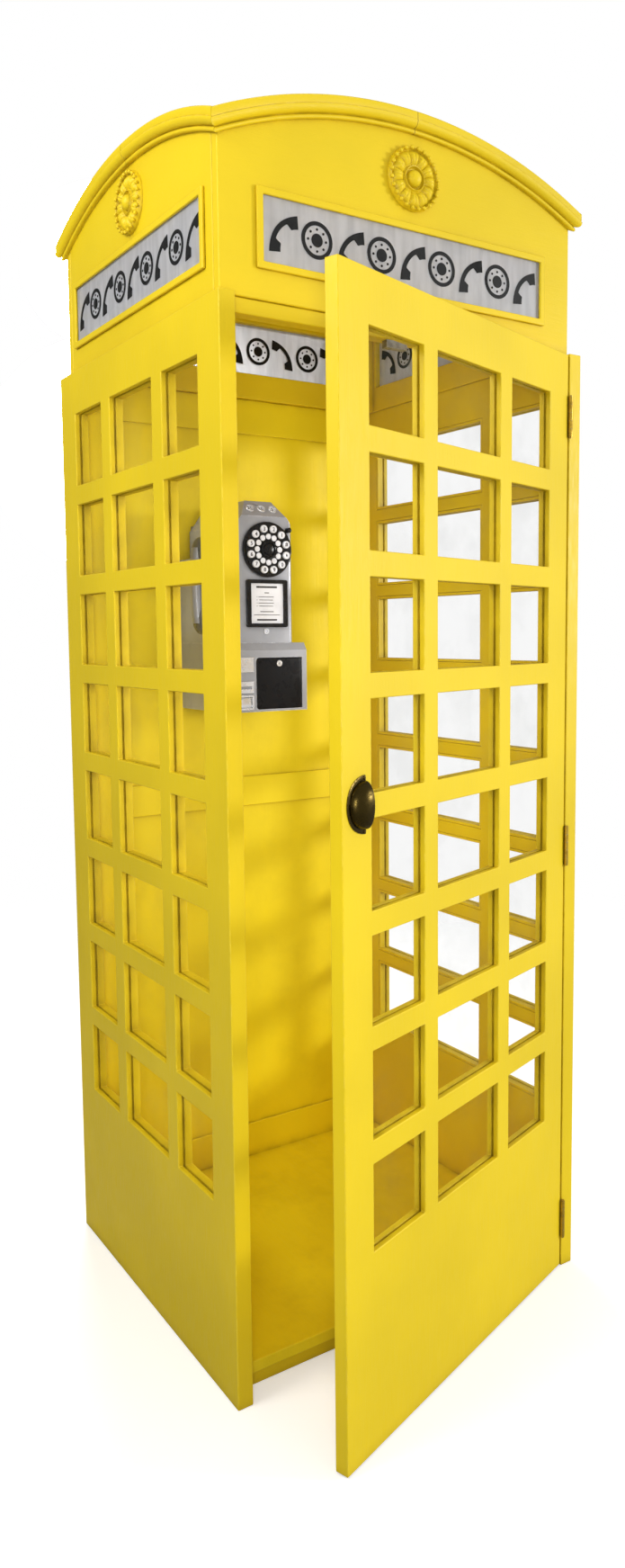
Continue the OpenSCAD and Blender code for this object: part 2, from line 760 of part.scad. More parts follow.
// Coin return pocket with its bezel, and the two plates above it
module return_bezel() color(WHITE) {
    difference() {
        translate([return_x0, low_y, return_z0]) cube([return_w, return_deep, return_h]);
        translate([return_x0 + pocket_t, low_y - eps, return_z0 + pocket_t])
            cube([return_w - 2 * pocket_t, return_deep - pocket_t + eps, return_h - 2 * pocket_t]);
        translate([0, flap_axis[0], flap_axis[1]])
            cyl_x(1.2 + run, return_x0 - eps, return_x0 + return_w + eps);
    }
    difference() {
        translate([return_x0 - 3, low_y - 1.5, return_z0 - 3])
            cube([return_w + 6, 1.5, return_h + 6]);
        translate([return_x0 + pocket_t, low_y - 1.5 - eps, return_z0 + pocket_t])
            cube([return_w - 2 * pocket_t, 1.5 + 2 * eps, return_h - 2 * pocket_t]);
    }
    difference() {
        translate([return_x0 - 3, low_y - 2, return_z0 + return_h + 8])
            cube([return_w + 6, 2, 28]);
        translate([return_x0 + 4, low_y - 2 - eps, return_z0 + return_h + 18])
            cube([return_w - 8, 2 + 2 * eps, 6]);
    }
    translate([return_x0 - 3, low_y - 2, return_z0 + return_h + 58])
        cube([return_w + 6, 2, 36]);
}
module circuit_board() color("darkgreen")
    translate([phone_x - 50, 0, upper_z + 60]) {
        translate([0, shell_back - 14, 0]) cube([100, 2, 90]);
        for (x = [8, 92], z = [8, 82]) translate([x, 0, z]) cyl_y(3, shell_back - 12, shell_back);
        translate([20, shell_back - 22, 20]) cube([30, 8, 24]);
        translate([60, shell_back - 20, 50]) cube([22, 6, 22]);
    }
module ringer() color(STEEL)
    translate([phone_x, 0, head_z - 50]) {
        translate([-45, shell_back - 3, -18]) cube([90, 3, 36]);
        for (x = [-26, 26]) translate([x, 0, 0]) {
            cyl_y(3, shell_back - 26, shell_back - 3);
            cyl_y(20, shell_back - 26, shell_back - 20);
        }
        translate([-8, shell_back - 18, -12]) cube([16, 15, 24]);
    }

// ---------------------------------------------------------------- payphone, moving
// Lock barrel with a keyway in its face; the cam behind it is short of the opening's edge
module lock_barrel(y0, y1, cam) {
    difference() {
        union() {
            cyl_y(lock_r + 1.5, y0 - 1.5, y0);
            cyl_y(lock_r, y0, y1);
        }
        translate([-0.9, y0 - 1.5 - eps, -3]) cube([1.8, 3, 6]);
    }
    translate([-2.5, y1, -4]) cube([5, 2, cam + 4]);
}
module upper_lock() color(STEEL)
    translate([upper_lock_x, 0, upper_lock_z]) lock_barrel(front_y, front_y + 14, 12);

module vault_door() color(BLACK)
    difference() {
        union() {
            translate([vault_x0, low_y, vault_z0])
                cube([vault[0] - vault_t / 2, vault_t, vault[1]]);
            translate([vault_axis[0], vault_axis[1], vault_z0]) {
                cylinder(r = vault_t / 2, h = vault[1]);
                translate([0, 0, -vault_pin_out])
                    cylinder(r = vault_pin_r, h = vault[1] + 2 * vault_pin_out);
            }
        }
        translate([vault_lock_x, 0, vault_lock_z])
            cyl_y(lock_r + run, low_y - eps, low_y + vault_t + eps);
    }
module vault_lock() color(STEEL)
    translate([vault_lock_x, 0, vault_lock_z]) lock_barrel(low_y, low_y + vault_t + 1, 9);

module return_flap() color(STEEL) {
    w = return_w - 2 * pocket_t - 2 * play;
    h = return_h - 2 * pocket_t - play;
    translate([return_x0 + pocket_t + play, flap_axis[0], flap_axis[1]]) {
        translate([0, -flap_t / 2, 2.1 - h]) cube([w, flap_t, h - 2.1]);
        cyl_x(2, 0, w);
    }
    translate([0, flap_axis[0], flap_axis[1]])
        cyl_x(1.2, return_x0 + 0.2, return_x0 + return_w - 0.2);
}
module release_button() color(BLACK)
    translate([release_x, 0, release_z]) {
        cyl_y(release_r, front_y - 12, front_y + 10);
        cyl_y(release_r + 1.5, front_y + 3.5 + fit, front_y + 6);
    }
// Number i of the ring, counted clockwise from just right of the top
module push_button(i) color(WHITE)
    translate([dial_x, 0, dial_z]) rotate([0, 15 + (i - 1) * 30, 0])
        translate([0, 0, button_ring_r]) {
            cyl_y(button_r, button_back - button_len + 1, button_back);
            cyl_y(button_r - 1, button_back - button_len, button_back);
        }

// Grip with an ear cup above and a mouth cup below, hanging beside the phone
module handset() color(GREY) {
    back_x = cup_x - cup_len;
    for (z = [ear_z, ear_z - handset_span]) translate([0, handset_y, z]) {
        cyl_x(cup_r, back_x + 10, cup_x);
        cyl_x(cup_r - 7, back_x, back_x + 10);
    }
    translate([back_x, handset_y, ear_z - handset_span]) {
        cylinder(r = grip_r, h = handset_span);
        for (z = [0, handset_span]) translate([0, 0, z]) sphere(r = grip_r);
    }
}
// Two prongs under the ear cup on an arm that turns on a pin inside the cradle
module hook_lever() color(STEEL)
    translate([0, handset_y, lever_z]) {
        for (s = [-1, 1]) translate([0, s * prong_reach * sin(prong_angle), 0]) {
            cyl_x(prong_r, cup_x - cup_len + 14, cradle_x0 - 3);
            translate([cup_x - cup_len + 14, 0, 0]) sphere(r = prong_r);
        }
        translate([cradle_x0 - 9, -prong_reach * sin(prong_angle) - prong_r, -prong_r])
            cube([6, 2 * prong_reach * sin(prong_angle) + 2 * prong_r, 2 * prong_r]);
        translate([cradle_x0 - 4, -lever_half + 1, -prong_r])
            cube([lever_x - cradle_x0 + 4, 2 * lever_half - 2, 2 * prong_r]);
        translate([lever_x, 0, 0]) {
            cyl_y(lever_pin_r + 2, -lever_half, lever_half);
            cyl_y(lever_pin_r, -lever_half - fit - lug_t, lever_half + fit + lug_t);
        }
    }

// ---------------------------------------------------------------- the assembly
floor_board();
floor_joists();
left_side_frame();
right_side_frame();
side_glass();
side_beads();
back_frame();
back_panels();
header_rail();
fascias();
sign_glass();
sign_mouldings();
medallions();
cornices();
roof_shell();
corner_posts();
frame_hinge_leaves();
hinge_pins();
catch_magnet();
door_frame();
door_glass();
door_beads();
door_hinge_leaves();
cup_pull();
cup_pull_screws();
catch_plate();
back_plate();
upper_housing();
coin_head();
coin_slot_rings();
dial_plate();
dial_hub();
card_frame();
instruction_card();
lower_housing();
handset_cradle();
coin_box();
coin_chute();
return_bezel();
circuit_board();
ringer();
upper_lock();
vault_door();
vault_lock();
return_flap();
release_button();
handset();
hook_lever();
push_button(1);  // push_button_01
push_button(2);  // push_button_02
push_button(3);  // push_button_03
push_button(4);  // push_button_04
push_button(5);  // push_button_05
push_button(6);  // push_button_06
push_button(7);  // push_button_07
push_button(8);  // push_button_08
push_button(9);  // push_button_09
push_button(10);  // push_button_10
push_button(11);  // push_button_11
push_button(12);  // push_button_12
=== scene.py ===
"""Painted timber telephone kiosk with a payphone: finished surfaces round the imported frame."""

import json
import math

import bmesh
import bpy
import numpy as np
from bpy.props import FloatProperty, FloatVectorProperty, IntProperty, PointerProperty
from mathutils import Matrix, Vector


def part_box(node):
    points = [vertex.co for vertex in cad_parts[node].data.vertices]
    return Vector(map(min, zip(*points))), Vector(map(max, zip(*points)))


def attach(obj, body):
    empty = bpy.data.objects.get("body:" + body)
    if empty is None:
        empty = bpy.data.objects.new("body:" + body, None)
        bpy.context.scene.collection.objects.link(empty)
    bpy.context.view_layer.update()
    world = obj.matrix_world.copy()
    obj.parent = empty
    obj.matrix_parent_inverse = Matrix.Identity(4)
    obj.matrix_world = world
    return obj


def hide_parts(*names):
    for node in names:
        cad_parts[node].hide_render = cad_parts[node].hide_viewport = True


bl_info = {
    "name": "Telephone Kiosk",
    "version": (1, 0, 0),
    "blender": (4, 5, 0),
    "location": "View3D > Sidebar > Kiosk",
    "description": "Builds the painted surfaces, fittings and payphone of a timber telephone kiosk",
    "category": "Object",
}

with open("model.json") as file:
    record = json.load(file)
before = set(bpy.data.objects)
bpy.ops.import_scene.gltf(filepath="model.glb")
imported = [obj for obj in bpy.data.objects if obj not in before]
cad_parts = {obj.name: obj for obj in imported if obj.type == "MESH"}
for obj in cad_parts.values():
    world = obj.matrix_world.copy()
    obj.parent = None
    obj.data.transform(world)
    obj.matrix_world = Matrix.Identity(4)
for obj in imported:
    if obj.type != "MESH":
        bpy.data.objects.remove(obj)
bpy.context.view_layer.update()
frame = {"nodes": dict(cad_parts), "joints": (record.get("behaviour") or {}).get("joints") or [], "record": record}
JOINTS = {joint["name"]: joint for joint in frame["joints"]}
BODY_OF = {
    node: body
    for body, nodes in frame["record"]["behaviour"]["bodies"].items()
    for node in nodes
}
DOOR_TURN = math.radians(-JOINTS["door_hinge"]["range_deg"][0])
FULL_TURN = 2 * math.pi

# Metres: half widths of the signs, thicknesses, the gap between pieces, and bevels.
SIGN_HALVES = (0.344, 0.321)
SIGN_GLASS = 0.006
FASCIA = 0.022
ROOF_SHELL = 0.012
GAP = 0.0003
MOULDING_ROUND = 0.0028
MOULDED_ROUND = 0.0015
FLOOR_RADIUS = 30.0
FLOOR_FADE = (1.2, 4.0)  # distances from the kiosk between which the floor fades out
FIGURE_DEPTH = 0.035  # shares of a numeral's size: its half thickness and its added weight
FIGURE_WEIGHT = 0.01
SMOOTH_BELOW = math.radians(38)  # angles between faces
EDGE_ABOVE = math.radians(30)
BEADS_ROUND = 24  # balls round the rim of a medallion
BLUNT = 1.4  # how much rounder the sign box and the head rail are worn than other timber


def colour(name, value, text):
    """A colour property with red, green and blue from 0 to 1."""
    return FloatVectorProperty(
        name=name, description=text, subtype="COLOR", size=3, min=0, max=1, default=value
    )


def number(name, value, text, **limits):
    """A plain number property."""
    return FloatProperty(name=name, description=text, default=value, **limits)


def length(name, value, text):
    """A length property in metres."""
    return number(name, value, text, min=0, unit="LENGTH")


class KioskSizes(bpy.types.PropertyGroup):
    """Sizes that the finished surfaces add to the frame."""

    timber_round: length("Timber edge", 0.0022, "Radius worn onto the edges of frames and boards")
    bead_round: length("Bead edge", 0.0012, "Radius on the glazing beads and sign mouldings")
    case_round: length("Payphone edge", 0.0035, "Radius on the payphone's sheet metal edges")
    small_round: length("Fitting edge", 0.0006, "Radius on small metal fittings")
    mark_height: length("Sign mark height", 0.086, "Height of one mark on the sign glass")
    mark_depth: length("Sign mark depth", 0.0008, "Thickness of the paint film of a sign mark")
    sign_marks: IntProperty(name="Sign marks", description="Marks on each sign", default=9, min=1)
    petals: IntProperty(name="Petals", description="Petals of the round ornament", default=12)


class KioskColours(bpy.types.PropertyGroup):
    """Colours of the kiosk's finishes."""

    paint: colour("Paint", (0.80, 0.585, 0.010), "Yellow gloss paint")
    # Painted light: the inside paint is brighter than the outside paint to stand in for light that the inside
    # lacks.
    paint_brightened_inside: colour("Paint inside", (0.92, 0.715, 0.010), "Fresher yellow of the inside")
    # Painted shade: this colour darkens the paint in inside corners; it also tints the real scuff marks.
    paint_shade_and_dirt: colour("Paint in corners", (0.47, 0.32, 0.003), "Paint where dirt and shade gather")
    paint_worn: colour("Paint on edges", (0.86, 0.67, 0.09), "Paint rubbed thin along the edges")
    glass: colour("Window glass", (0.11, 0.15, 0.13), "Tint of the window glass")
    opal: colour("Sign glass", (0.76, 0.77, 0.80), "Frosted glass of the signs")
    mark: colour("Sign mark", (0.009, 0.009, 0.009), "Paint of the marks on the signs")
    bronze: colour("Bronze", (0.052, 0.036, 0.009), "Aged bronze of the cup pull")
    enamel: colour("Enamel", (0.36, 0.375, 0.42), "Silver-grey enamel of the payphone")
    black: colour("Black", (0.008, 0.008, 0.009), "Black plastic and enamel")
    white: colour("White", (0.74, 0.75, 0.80), "White plastic and card")
    chrome: colour("Chrome", (0.80, 0.82, 0.88), "Bright plated metal")
    steel: colour("Steel", (0.42, 0.41, 0.38), "Plated steel sheet")


class KioskStage(bpy.types.PropertyGroup):
    """Where the camera stands, and the studio round the kiosk."""

    eye: FloatVectorProperty(
        name="Eye", description="Camera position", subtype="XYZ", default=(-1.3683, -2.1806, 1.4986)
    )
    yaw: number("Yaw", 33.719, "Turn to the right in degrees")
    pitch: number("Pitch", -5.104, "Tilt upwards in degrees")
    roll: number("Roll", -0.464, "Roll in degrees")
    lens: number("Lens", 24.956, "Focal length in millimetres")
    shift_x: number("Shift X", -0.0209, "Sideways lens shift")
    shift_y: number("Shift Y", -0.0334, "Upward lens shift")
    sky: number("Sky", 0.66, "Strength of the light in front", min=0)
    sky_behind: number("Sky behind", 0.20, "Strength behind", min=0)


# ------------------------------------------------------------------ meshes


def as_grid(points, wrap_u=False, wrap_v=False):
    """Quads of a grid of points with shape (nu, nv, 3), joined edge to edge where it wraps."""
    nu, nv = points.shape[:2]
    u = np.arange(nu if wrap_u else nu - 1)
    v = np.arange(nv if wrap_v else nv - 1)
    a, b = np.meshgrid(u, v, indexing="ij")
    c, d = (a + 1) % nu, (b + 1) % nv
    quads = np.stack([a * nv + b, c * nv + b, c * nv + d, a * nv + d], axis=-1)
    return points.reshape(-1, 3), quads.reshape(-1, 4).tolist()


def joined(parts):
    """Joins (points, faces) pairs into one pair, moving each part's indices past the last."""
    points, faces, offset = [], [], 0
    for flat, polygons in parts:
        points.append(flat)
        faces += [[i + offset for i in polygon] for polygon in polygons]
        offset += len(flat)
    return np.concatenate(points), faces


def capped(points):
    """A tube from a grid of rings, closed by a face over its first and last ring."""
    flat, faces = as_grid(points, wrap_v=True)
    ring = list(range(points.shape[1]))
    last = len(flat) - len(ring)
    return flat, [*faces, ring[::-1], [last + i for i in ring]]


def corners(node):
    """The lowest and highest corner of a CAD node as arrays."""
    return [np.array(corner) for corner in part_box(node)]


def front_of(node):
    """The middle of a CAD node's front side, half its width, and its depth."""
    low, high = corners(node)
    middle = (low + high) / 2
    return np.array([middle[0], low[1], middle[2]]), (high[0] - low[0]) / 2, high[1] - low[1]


def piece(name, shape, look, node, smooth=True, slot=None):
    """Makes a mesh object from (points, faces) with outward normals, and lets it ride its body."""
    points, faces = shape
    mesh = bpy.data.meshes.new(name)
    mesh.from_pydata(points, [], faces)
    outward(mesh)
    mesh.polygons.foreach_set("use_smooth", np.full(len(mesh.polygons), smooth))
    if smooth:
        mesh.set_sharp_from_angle(angle=SMOOTH_BELOW)
    return placed(name, mesh, look, node)


def covering(name, shape, look, node, **more):
    """A new piece that stands for its CAD node."""
    obj = piece(name, shape, look, node, **more)
    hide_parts(node)
    return obj


def linked(name, data):
    """A new object in the scene."""
    obj = bpy.data.objects.new(name, data)
    bpy.context.scene.collection.objects.link(obj)
    return obj


def dress(mesh, look):
    """Gives a mesh one finish."""
    mesh.materials.clear()
    mesh.materials.append(finish(look))


def placed(name, mesh, look, node):
    """Puts a finished mesh in the scene on the body of the CAD node it belongs to."""
    dress(mesh, look)
    obj = linked(name, mesh)
    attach(obj, BODY_OF[node])
    return obj


def outward(mesh, apart=1e-6):
    """Merges doubled points and turns every face outwards."""
    work = bmesh.new()
    work.from_mesh(mesh)
    bmesh.ops.remove_doubles(work, verts=work.verts, dist=apart)
    bmesh.ops.recalc_face_normals(work, faces=work.faces)
    work.to_mesh(mesh)
    work.free()
    mesh.update()


def rounded(obj, radius, segments=2):
    """Rounds an object's sharp edges with a bevel, and shades the flats between them flat."""
    mesh = obj.data
    mesh.polygons.foreach_set("use_smooth", np.ones(len(mesh.polygons), bool))
    mesh.set_sharp_from_angle(angle=EDGE_ABOVE)
    bevel = obj.modifiers.new("Rounded edges", "BEVEL")
    bevel.width = radius
    bevel.segments = segments
    bevel.limit_method = "ANGLE"
    bevel.angle_limit = EDGE_ABOVE
    bevel.harden_normals = True
    return obj


def softened(node, prefix, look, radius, segments=2):
    """A copy of a CAD node, merged into whole faces, with its sharp edges rounded by a bevel."""
    mesh = frame["nodes"][node].data.copy()
    mesh.name = f"{prefix}_{node}"
    work = bmesh.new()
    work.from_mesh(mesh)
    bmesh.ops.remove_doubles(work, verts=work.verts, dist=2e-6)
    bmesh.ops.join_triangles(
        work, faces=work.faces, angle_face_threshold=math.radians(1),
        angle_shape_threshold=math.radians(179),
    )
    work.to_mesh(mesh)
    work.free()
    obj = rounded(placed(mesh.name, mesh, look, node), radius, segments)
    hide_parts(node)
    return obj


def read_points(mesh):
    """A mesh's points as an array with a row for each."""
    points = np.empty(len(mesh.vertices) * 3)
    mesh.vertices.foreach_get("co", points)
    return points.reshape(-1, 3)


def triangles(node, turn=0.0, pivot=(0.0, 0.0)):
    """A node's triangles as (n, 3, 3), turned back by an angle about an upright axis."""
    mesh = frame["nodes"][node].data
    mesh.calc_loop_triangles()
    index = np.empty(len(mesh.loop_triangles) * 3, int)
    mesh.loop_triangles.foreach_get("vertices", index)
    return turned_about(read_points(mesh), -turn, pivot)[index.reshape(-1, 3)]


def turned_about(points, turn, pivot=(0.0, 0.0)):
    """Turns points by an angle about an upright axis through pivot."""
    c, s = math.cos(turn), math.sin(turn)
    x, y = points[..., 0] - pivot[0], points[..., 1] - pivot[1]
    return np.stack([c * x - s * y + pivot[0], s * x + c * y + pivot[1], points[..., 2]], -1)


def quarter_turned(points, wall):
    """Turns points of the front wall to one of the four walls, counted clockwise from above."""
    return turned_about(points, -wall * math.pi / 2)


def upright(flat, y):
    """Stands (x, z) points up in the plane at y."""
    return np.stack([flat[:, 0], np.full(len(flat), y), flat[:, 1]], axis=-1)


def square_cells(solid):
    """Cuts space at the planes of a square-cut solid and tells which cells it fills.

    Planes come from the large faces that look along an axis. A cell is solid where the line from
    it towards -X passes an odd number of the faces that look along X.
    """
    cross = np.cross(solid[:, 1] - solid[:, 0], solid[:, 2] - solid[:, 0])
    area = np.linalg.norm(cross, axis=1)
    normal = np.abs(cross) / np.maximum(area, 1e-12)[:, None]
    planes = []
    for axis in range(3):
        flat = (normal[:, axis] > 0.9999) & (area > 2e-5)
        planes.append(np.unique(np.round(solid[flat, 0, axis], 5)))
    ahead = solid[(normal[:, 0] > 0.9999) & (area > 1e-9)]
    middle = [(p[1:] + p[:-1]) / 2 for p in planes]
    y, z = np.meshgrid(middle[1], middle[2], indexing="ij")
    sides = []
    for i in range(3):
        a, b = ahead[:, i, 1:], ahead[:, (i + 1) % 3, 1:]
        edge = b - a
        sides.append(
            edge[:, 0, None, None] * (z - a[:, 1, None, None])
            - edge[:, 1, None, None] * (y - a[:, 0, None, None]) > 0
        )
    inside = (sides[0] == sides[1]) & (sides[1] == sides[2])
    passed = np.zeros((len(planes[0]), *y.shape), int)
    np.add.at(passed, np.abs(ahead[:, 0, 0, None] - planes[0]).argmin(1), inside.astype(int))
    return planes, passed.cumsum(0)[:-1] % 2 == 1


def cell_quads(solid, points):
    """Quads wherever a solid cell meets an empty one, on a lattice of points (nx, ny, nz, 3)."""
    index = np.arange(points[..., 0].size).reshape(points.shape[:3])
    faces = []
    for axis in range(3):
        full = np.moveaxis(np.pad(solid, 1), axis, 0)[:, 1:-1, 1:-1]
        grid = np.moveaxis(index, axis, 0)
        ring = [grid[:, :-1, :-1], grid[:, 1:, :-1], grid[:, 1:, 1:], grid[:, :-1, 1:]]
        quad = np.stack(ring, axis=-1)
        flip = axis == 1
        for before, after, turn in ((full[:-1], full[1:], not flip), (full[1:], full[:-1], flip)):
            chosen = quad[after & ~before]
            faces.append(chosen[:, ::-1] if turn else chosen)
    faces = np.concatenate(faces)
    kept, inverse = np.unique(faces, return_inverse=True)
    return points.reshape(-1, 3)[kept], inverse.reshape(-1, 4).tolist()


def boards(node, look, radius, turn=0.0, pivot=(0.0, 0.0)):
    """A square-cut node rebuilt as clean quads between its own planes, with rounded edges."""
    planes, solid = square_cells(triangles(node, turn, pivot))
    lattice = np.stack(np.meshgrid(*planes, indexing="ij"), axis=-1)
    points, faces = cell_quads(solid, lattice)
    shape = turned_about(points, turn, pivot), faces
    rounded(covering("painted_" + node, shape, look, node, smooth=False), radius)


def dressed(node, look):
    """Gives a CAD node that keeps its own shape a finished material."""
    dress(frame["nodes"][node].data, look)


def all_round(steps):
    """Angles in equal steps round a full turn, and the points of the unit circle at them."""
    angle = np.linspace(0, FULL_TURN, steps, endpoint=False)
    return angle, np.stack([np.cos(angle), np.sin(angle)], -1)


def turned(profile, steps):
    """Rings of (radius, height) pairs turned about the local Z axis; ends at radius 0 are poles."""
    unit = all_round(steps)[1]
    return np.stack([np.column_stack([r * unit, np.full(steps, h)]) for r, h in profile])


def lathe(profile, steps, centre, out):
    """A turned profile as (points, faces), set on a point with its axis along out."""
    return as_grid(facing(turned(profile, steps), centre, out), wrap_v=True)


def rounded_outline(low, high, radius, steps=6):
    """A rectangle's outline whose corners are quarter circles, run round once."""
    left, right, bottom, top = low[0] + radius, high[0] - radius, low[1] + radius, high[1] - radius
    centres = ((right, top), (left, top), (left, bottom), (right, bottom))
    arcs = [arc(at, radius, 90 * i, 90 * i + 90, steps) for i, at in enumerate(centres)]
    return np.concatenate(arcs)


def facing(points, centre, out, up=(0, 0, 1)):
    """Turns local points so that local Z points along out and local Y along up, then moves them."""
    z = np.asarray(out, float)
    z /= np.linalg.norm(z)
    y = np.asarray(up, float)
    y = y - z * (y @ z)
    y /= np.linalg.norm(y)
    x = np.cross(y, z)
    return points @ np.stack([x, y, z]) + np.asarray(centre, float)


def arc(centre, radius, start, end, steps):
    """Points of a circular arc from start to end degrees, without its last point."""
    angle = np.radians(np.linspace(start, end, steps + 1))
    return np.stack([centre[0] + radius * np.cos(angle), centre[1] + radius * np.sin(angle)], -1)


# ------------------------------------------------------------------ node groups and materials


def add(tree, kind, settings=None, **inputs):
    """Adds a node, sets its attributes, and feeds its inputs with values or with sockets."""
    node = tree.nodes.new(kind)
    for key, value in (settings or {}).items():
        setattr(node, key, value)
    for key, value in inputs.items():
        socket = node.inputs[int(key[1:])] if key[0] == "i" and key[1:].isdigit() else None
        socket = socket or node.inputs[key.replace("_", " ")]
        if isinstance(value, bpy.types.NodeSocket):
            tree.links.new(value, socket)
        else:
            socket.default_value = value
    return node


def group(name, inputs, outputs):
    """An empty shader node group with the given float, vector or colour sockets."""
    tree = bpy.data.node_groups.new(name, "ShaderNodeTree")
    for label, kind, default in inputs:
        socket = tree.interface.new_socket(name=label, in_out="INPUT", socket_type=kind)
        socket.default_value = default
    for label, kind in outputs:
        tree.interface.new_socket(name=label, in_out="OUTPUT", socket_type=kind)
    return tree, tree.nodes.new("NodeGroupInput").outputs, tree.nodes.new("NodeGroupOutput").inputs


FLOAT, VECTOR = "NodeSocketFloat", "NodeSocketVector"


def ramp(tree, value, low, high, to_low=0.0, to_high=1.0):
    """Maps a value smoothly from the span low to high onto another span, and clamps it."""
    spans = {"From_Min": low, "From_Max": high, "To_Min": to_low, "To_Max": to_high}
    settings = {"interpolation_type": "SMOOTHSTEP"}
    return add(tree, "ShaderNodeMapRange", settings, Value=value, **spans).outputs[0]


def coordinates(tree, kind="Object"):
    """The place that a pattern is laid out on."""
    return add(tree, "ShaderNodeTexCoord").outputs[kind]


def noise(tree, place, scale, detail, roughness=0.5):
    """The value of a soft random pattern."""
    settings = {"Vector": place, "Scale": scale, "Detail": detail, "Roughness": roughness}
    return add(tree, "ShaderNodeTexNoise", **settings).outputs["Fac"]


def maths(tree, operation, *values):
    """One step of arithmetic on values or sockets."""
    inputs = {f"i{index}": value for index, value in enumerate(values)}
    return add(tree, "ShaderNodeMath", {"operation": operation}, **inputs).outputs[0]


def vectors(tree, operation, *values):
    """The outputs of one step of arithmetic on vectors."""
    inputs = {f"i{index}": value for index, value in enumerate(values)}
    return add(tree, "ShaderNodeVectorMath", {"operation": operation}, **inputs).outputs


def edge_wear_group():
    """Mask along convex edges: where a rounded normal leaves the face's own, broken by noise."""
    tree, given, out = group(
        "Edge wear", [("Radius", FLOAT, 0.003), ("Breakup", FLOAT, 60.0)], [("Mask", FLOAT)]
    )
    bevel = add(tree, "ShaderNodeBevel", {"samples": 4}, Radius=given["Radius"])
    own = add(tree, "ShaderNodeNewGeometry").outputs["Normal"]
    edge = ramp(tree, vectors(tree, "DOT_PRODUCT", bevel.outputs[0], own)["Value"], 0.99, 0.86)
    broken = ramp(tree, noise(tree, coordinates(tree), given["Breakup"], 4.0), 0.40, 0.62)
    tree.links.new(maths(tree, "MULTIPLY", edge, broken), out["Mask"])
    return tree


def corner_shade_group():
    """Mask of painted shade in inside corners: the share of nearby space that is blocked, softened by noise."""
    tree, given, out = group("Corner shade", [("Reach", FLOAT, 0.02)], [("Mask", FLOAT)])
    shade = add(tree, "ShaderNodeAmbientOcclusion", {"samples": 4}, Distance=given["Reach"])
    closed = ramp(tree, shade.outputs["AO"], 0.92, 0.35)
    patchy = ramp(tree, noise(tree, coordinates(tree), 18.0, 5.0), 0.25, 0.7, 0.35, 1.0)
    tree.links.new(maths(tree, "MULTIPLY", closed, patchy), out["Mask"])
    return tree


def brush_group():
    """Brushed gloss paint: streaks along one axis, a soft orange peel, and slow tint patches."""
    tree, given, out = group(
        "Brush marks",
        [("Stretch", VECTOR, (1, 1, 0.06)), ("Fineness", FLOAT, 420.0)],
        [("Height", FLOAT), ("Patches", FLOAT), ("Streaks", FLOAT)],
    )
    place = coordinates(tree)
    along = vectors(tree, "MULTIPLY", place, given["Stretch"])[0]
    streak = noise(tree, along, given["Fineness"], 3.0)
    peel = noise(tree, place, 150.0, 1.0)
    grain = noise(tree, along, 45.0, 2.0)
    height = maths(tree, "MULTIPLY_ADD", grain, 0.8, maths(tree, "MULTIPLY_ADD", peel, 0.5, streak))
    tree.links.new(height, out["Height"])
    tree.links.new(ramp(tree, noise(tree, place, 2.6, 3.0), 0.3, 0.7), out["Patches"])
    tree.links.new(ramp(tree, streak, 0.3, 0.7), out["Streaks"])
    return tree


def smudge_group():
    """Handling marks: large soft clouds, and a finer noise."""
    outputs = [("Mask", FLOAT), ("Fine", FLOAT)]
    tree, given, out = group("Smudges", [("Scale", FLOAT, 12.0)], outputs)
    place = coordinates(tree)
    cloud = noise(tree, place, given["Scale"], 5.0, 0.65)
    tree.links.new(ramp(tree, cloud, 0.42, 0.68), out["Mask"])
    tree.links.new(noise(tree, place, 900.0, 2.0), out["Fine"])
    return tree


GROUPS = {}


def use(tree, name, **inputs):
    """Places a shared node group in a material, building the group the first time."""
    builders = {
        "edge": edge_wear_group,
        "corner_shade": corner_shade_group,
        "brush": brush_group,
        "smudge": smudge_group,
    }
    if name not in GROUPS:
        GROUPS[name] = builders[name]()
    return add(tree, "ShaderNodeGroup", {"node_tree": GROUPS[name]}, **inputs).outputs


def mix(tree, share, *shades):
    """Mixes two colours or colour sockets by a share from 0 to 1."""
    first, second = (s if isinstance(s, bpy.types.NodeSocket) else (*s, 1) for s in shades)
    node = add(tree, "ShaderNodeMix", {"data_type": "RGBA"}, i0=share, i6=first, i7=second)
    return node.outputs[2]


def shader(name, base, roughness, metallic=0.0, **plain):
    """A material with one Principled shader whose constant sockets are set here."""
    material = bpy.data.materials.new(name)
    material.use_nodes = True
    tree = material.node_tree
    bsdf = tree.nodes["Principled BSDF"]
    bsdf.inputs["Base Color"].default_value = (*base, 1)
    bsdf.inputs["Roughness"].default_value = roughness
    bsdf.inputs["Metallic"].default_value = metallic
    for key, value in plain.items():
        bsdf.inputs[key.replace("_", " ")].default_value = value
    return material, tree, bsdf


def feed(tree, bsdf, base, roughness, height, distance, strength=0.5):
    """Feeds a shader its colour, its roughness, and its normal from a height through a bump."""
    bump = add(tree, "ShaderNodeBump", Height=height, Distance=distance, Strength=strength)
    sockets = {"Base Color": base, "Roughness": roughness, "Normal": bump.outputs[0]}
    for socket, value in sockets.items():
        tree.links.new(value, bsdf.inputs[socket])


def tinted(shade, factor):
    """A colour made lighter or darker by a factor, kept within 1."""
    return tuple(min(1.0, channel * factor) for channel in shade)


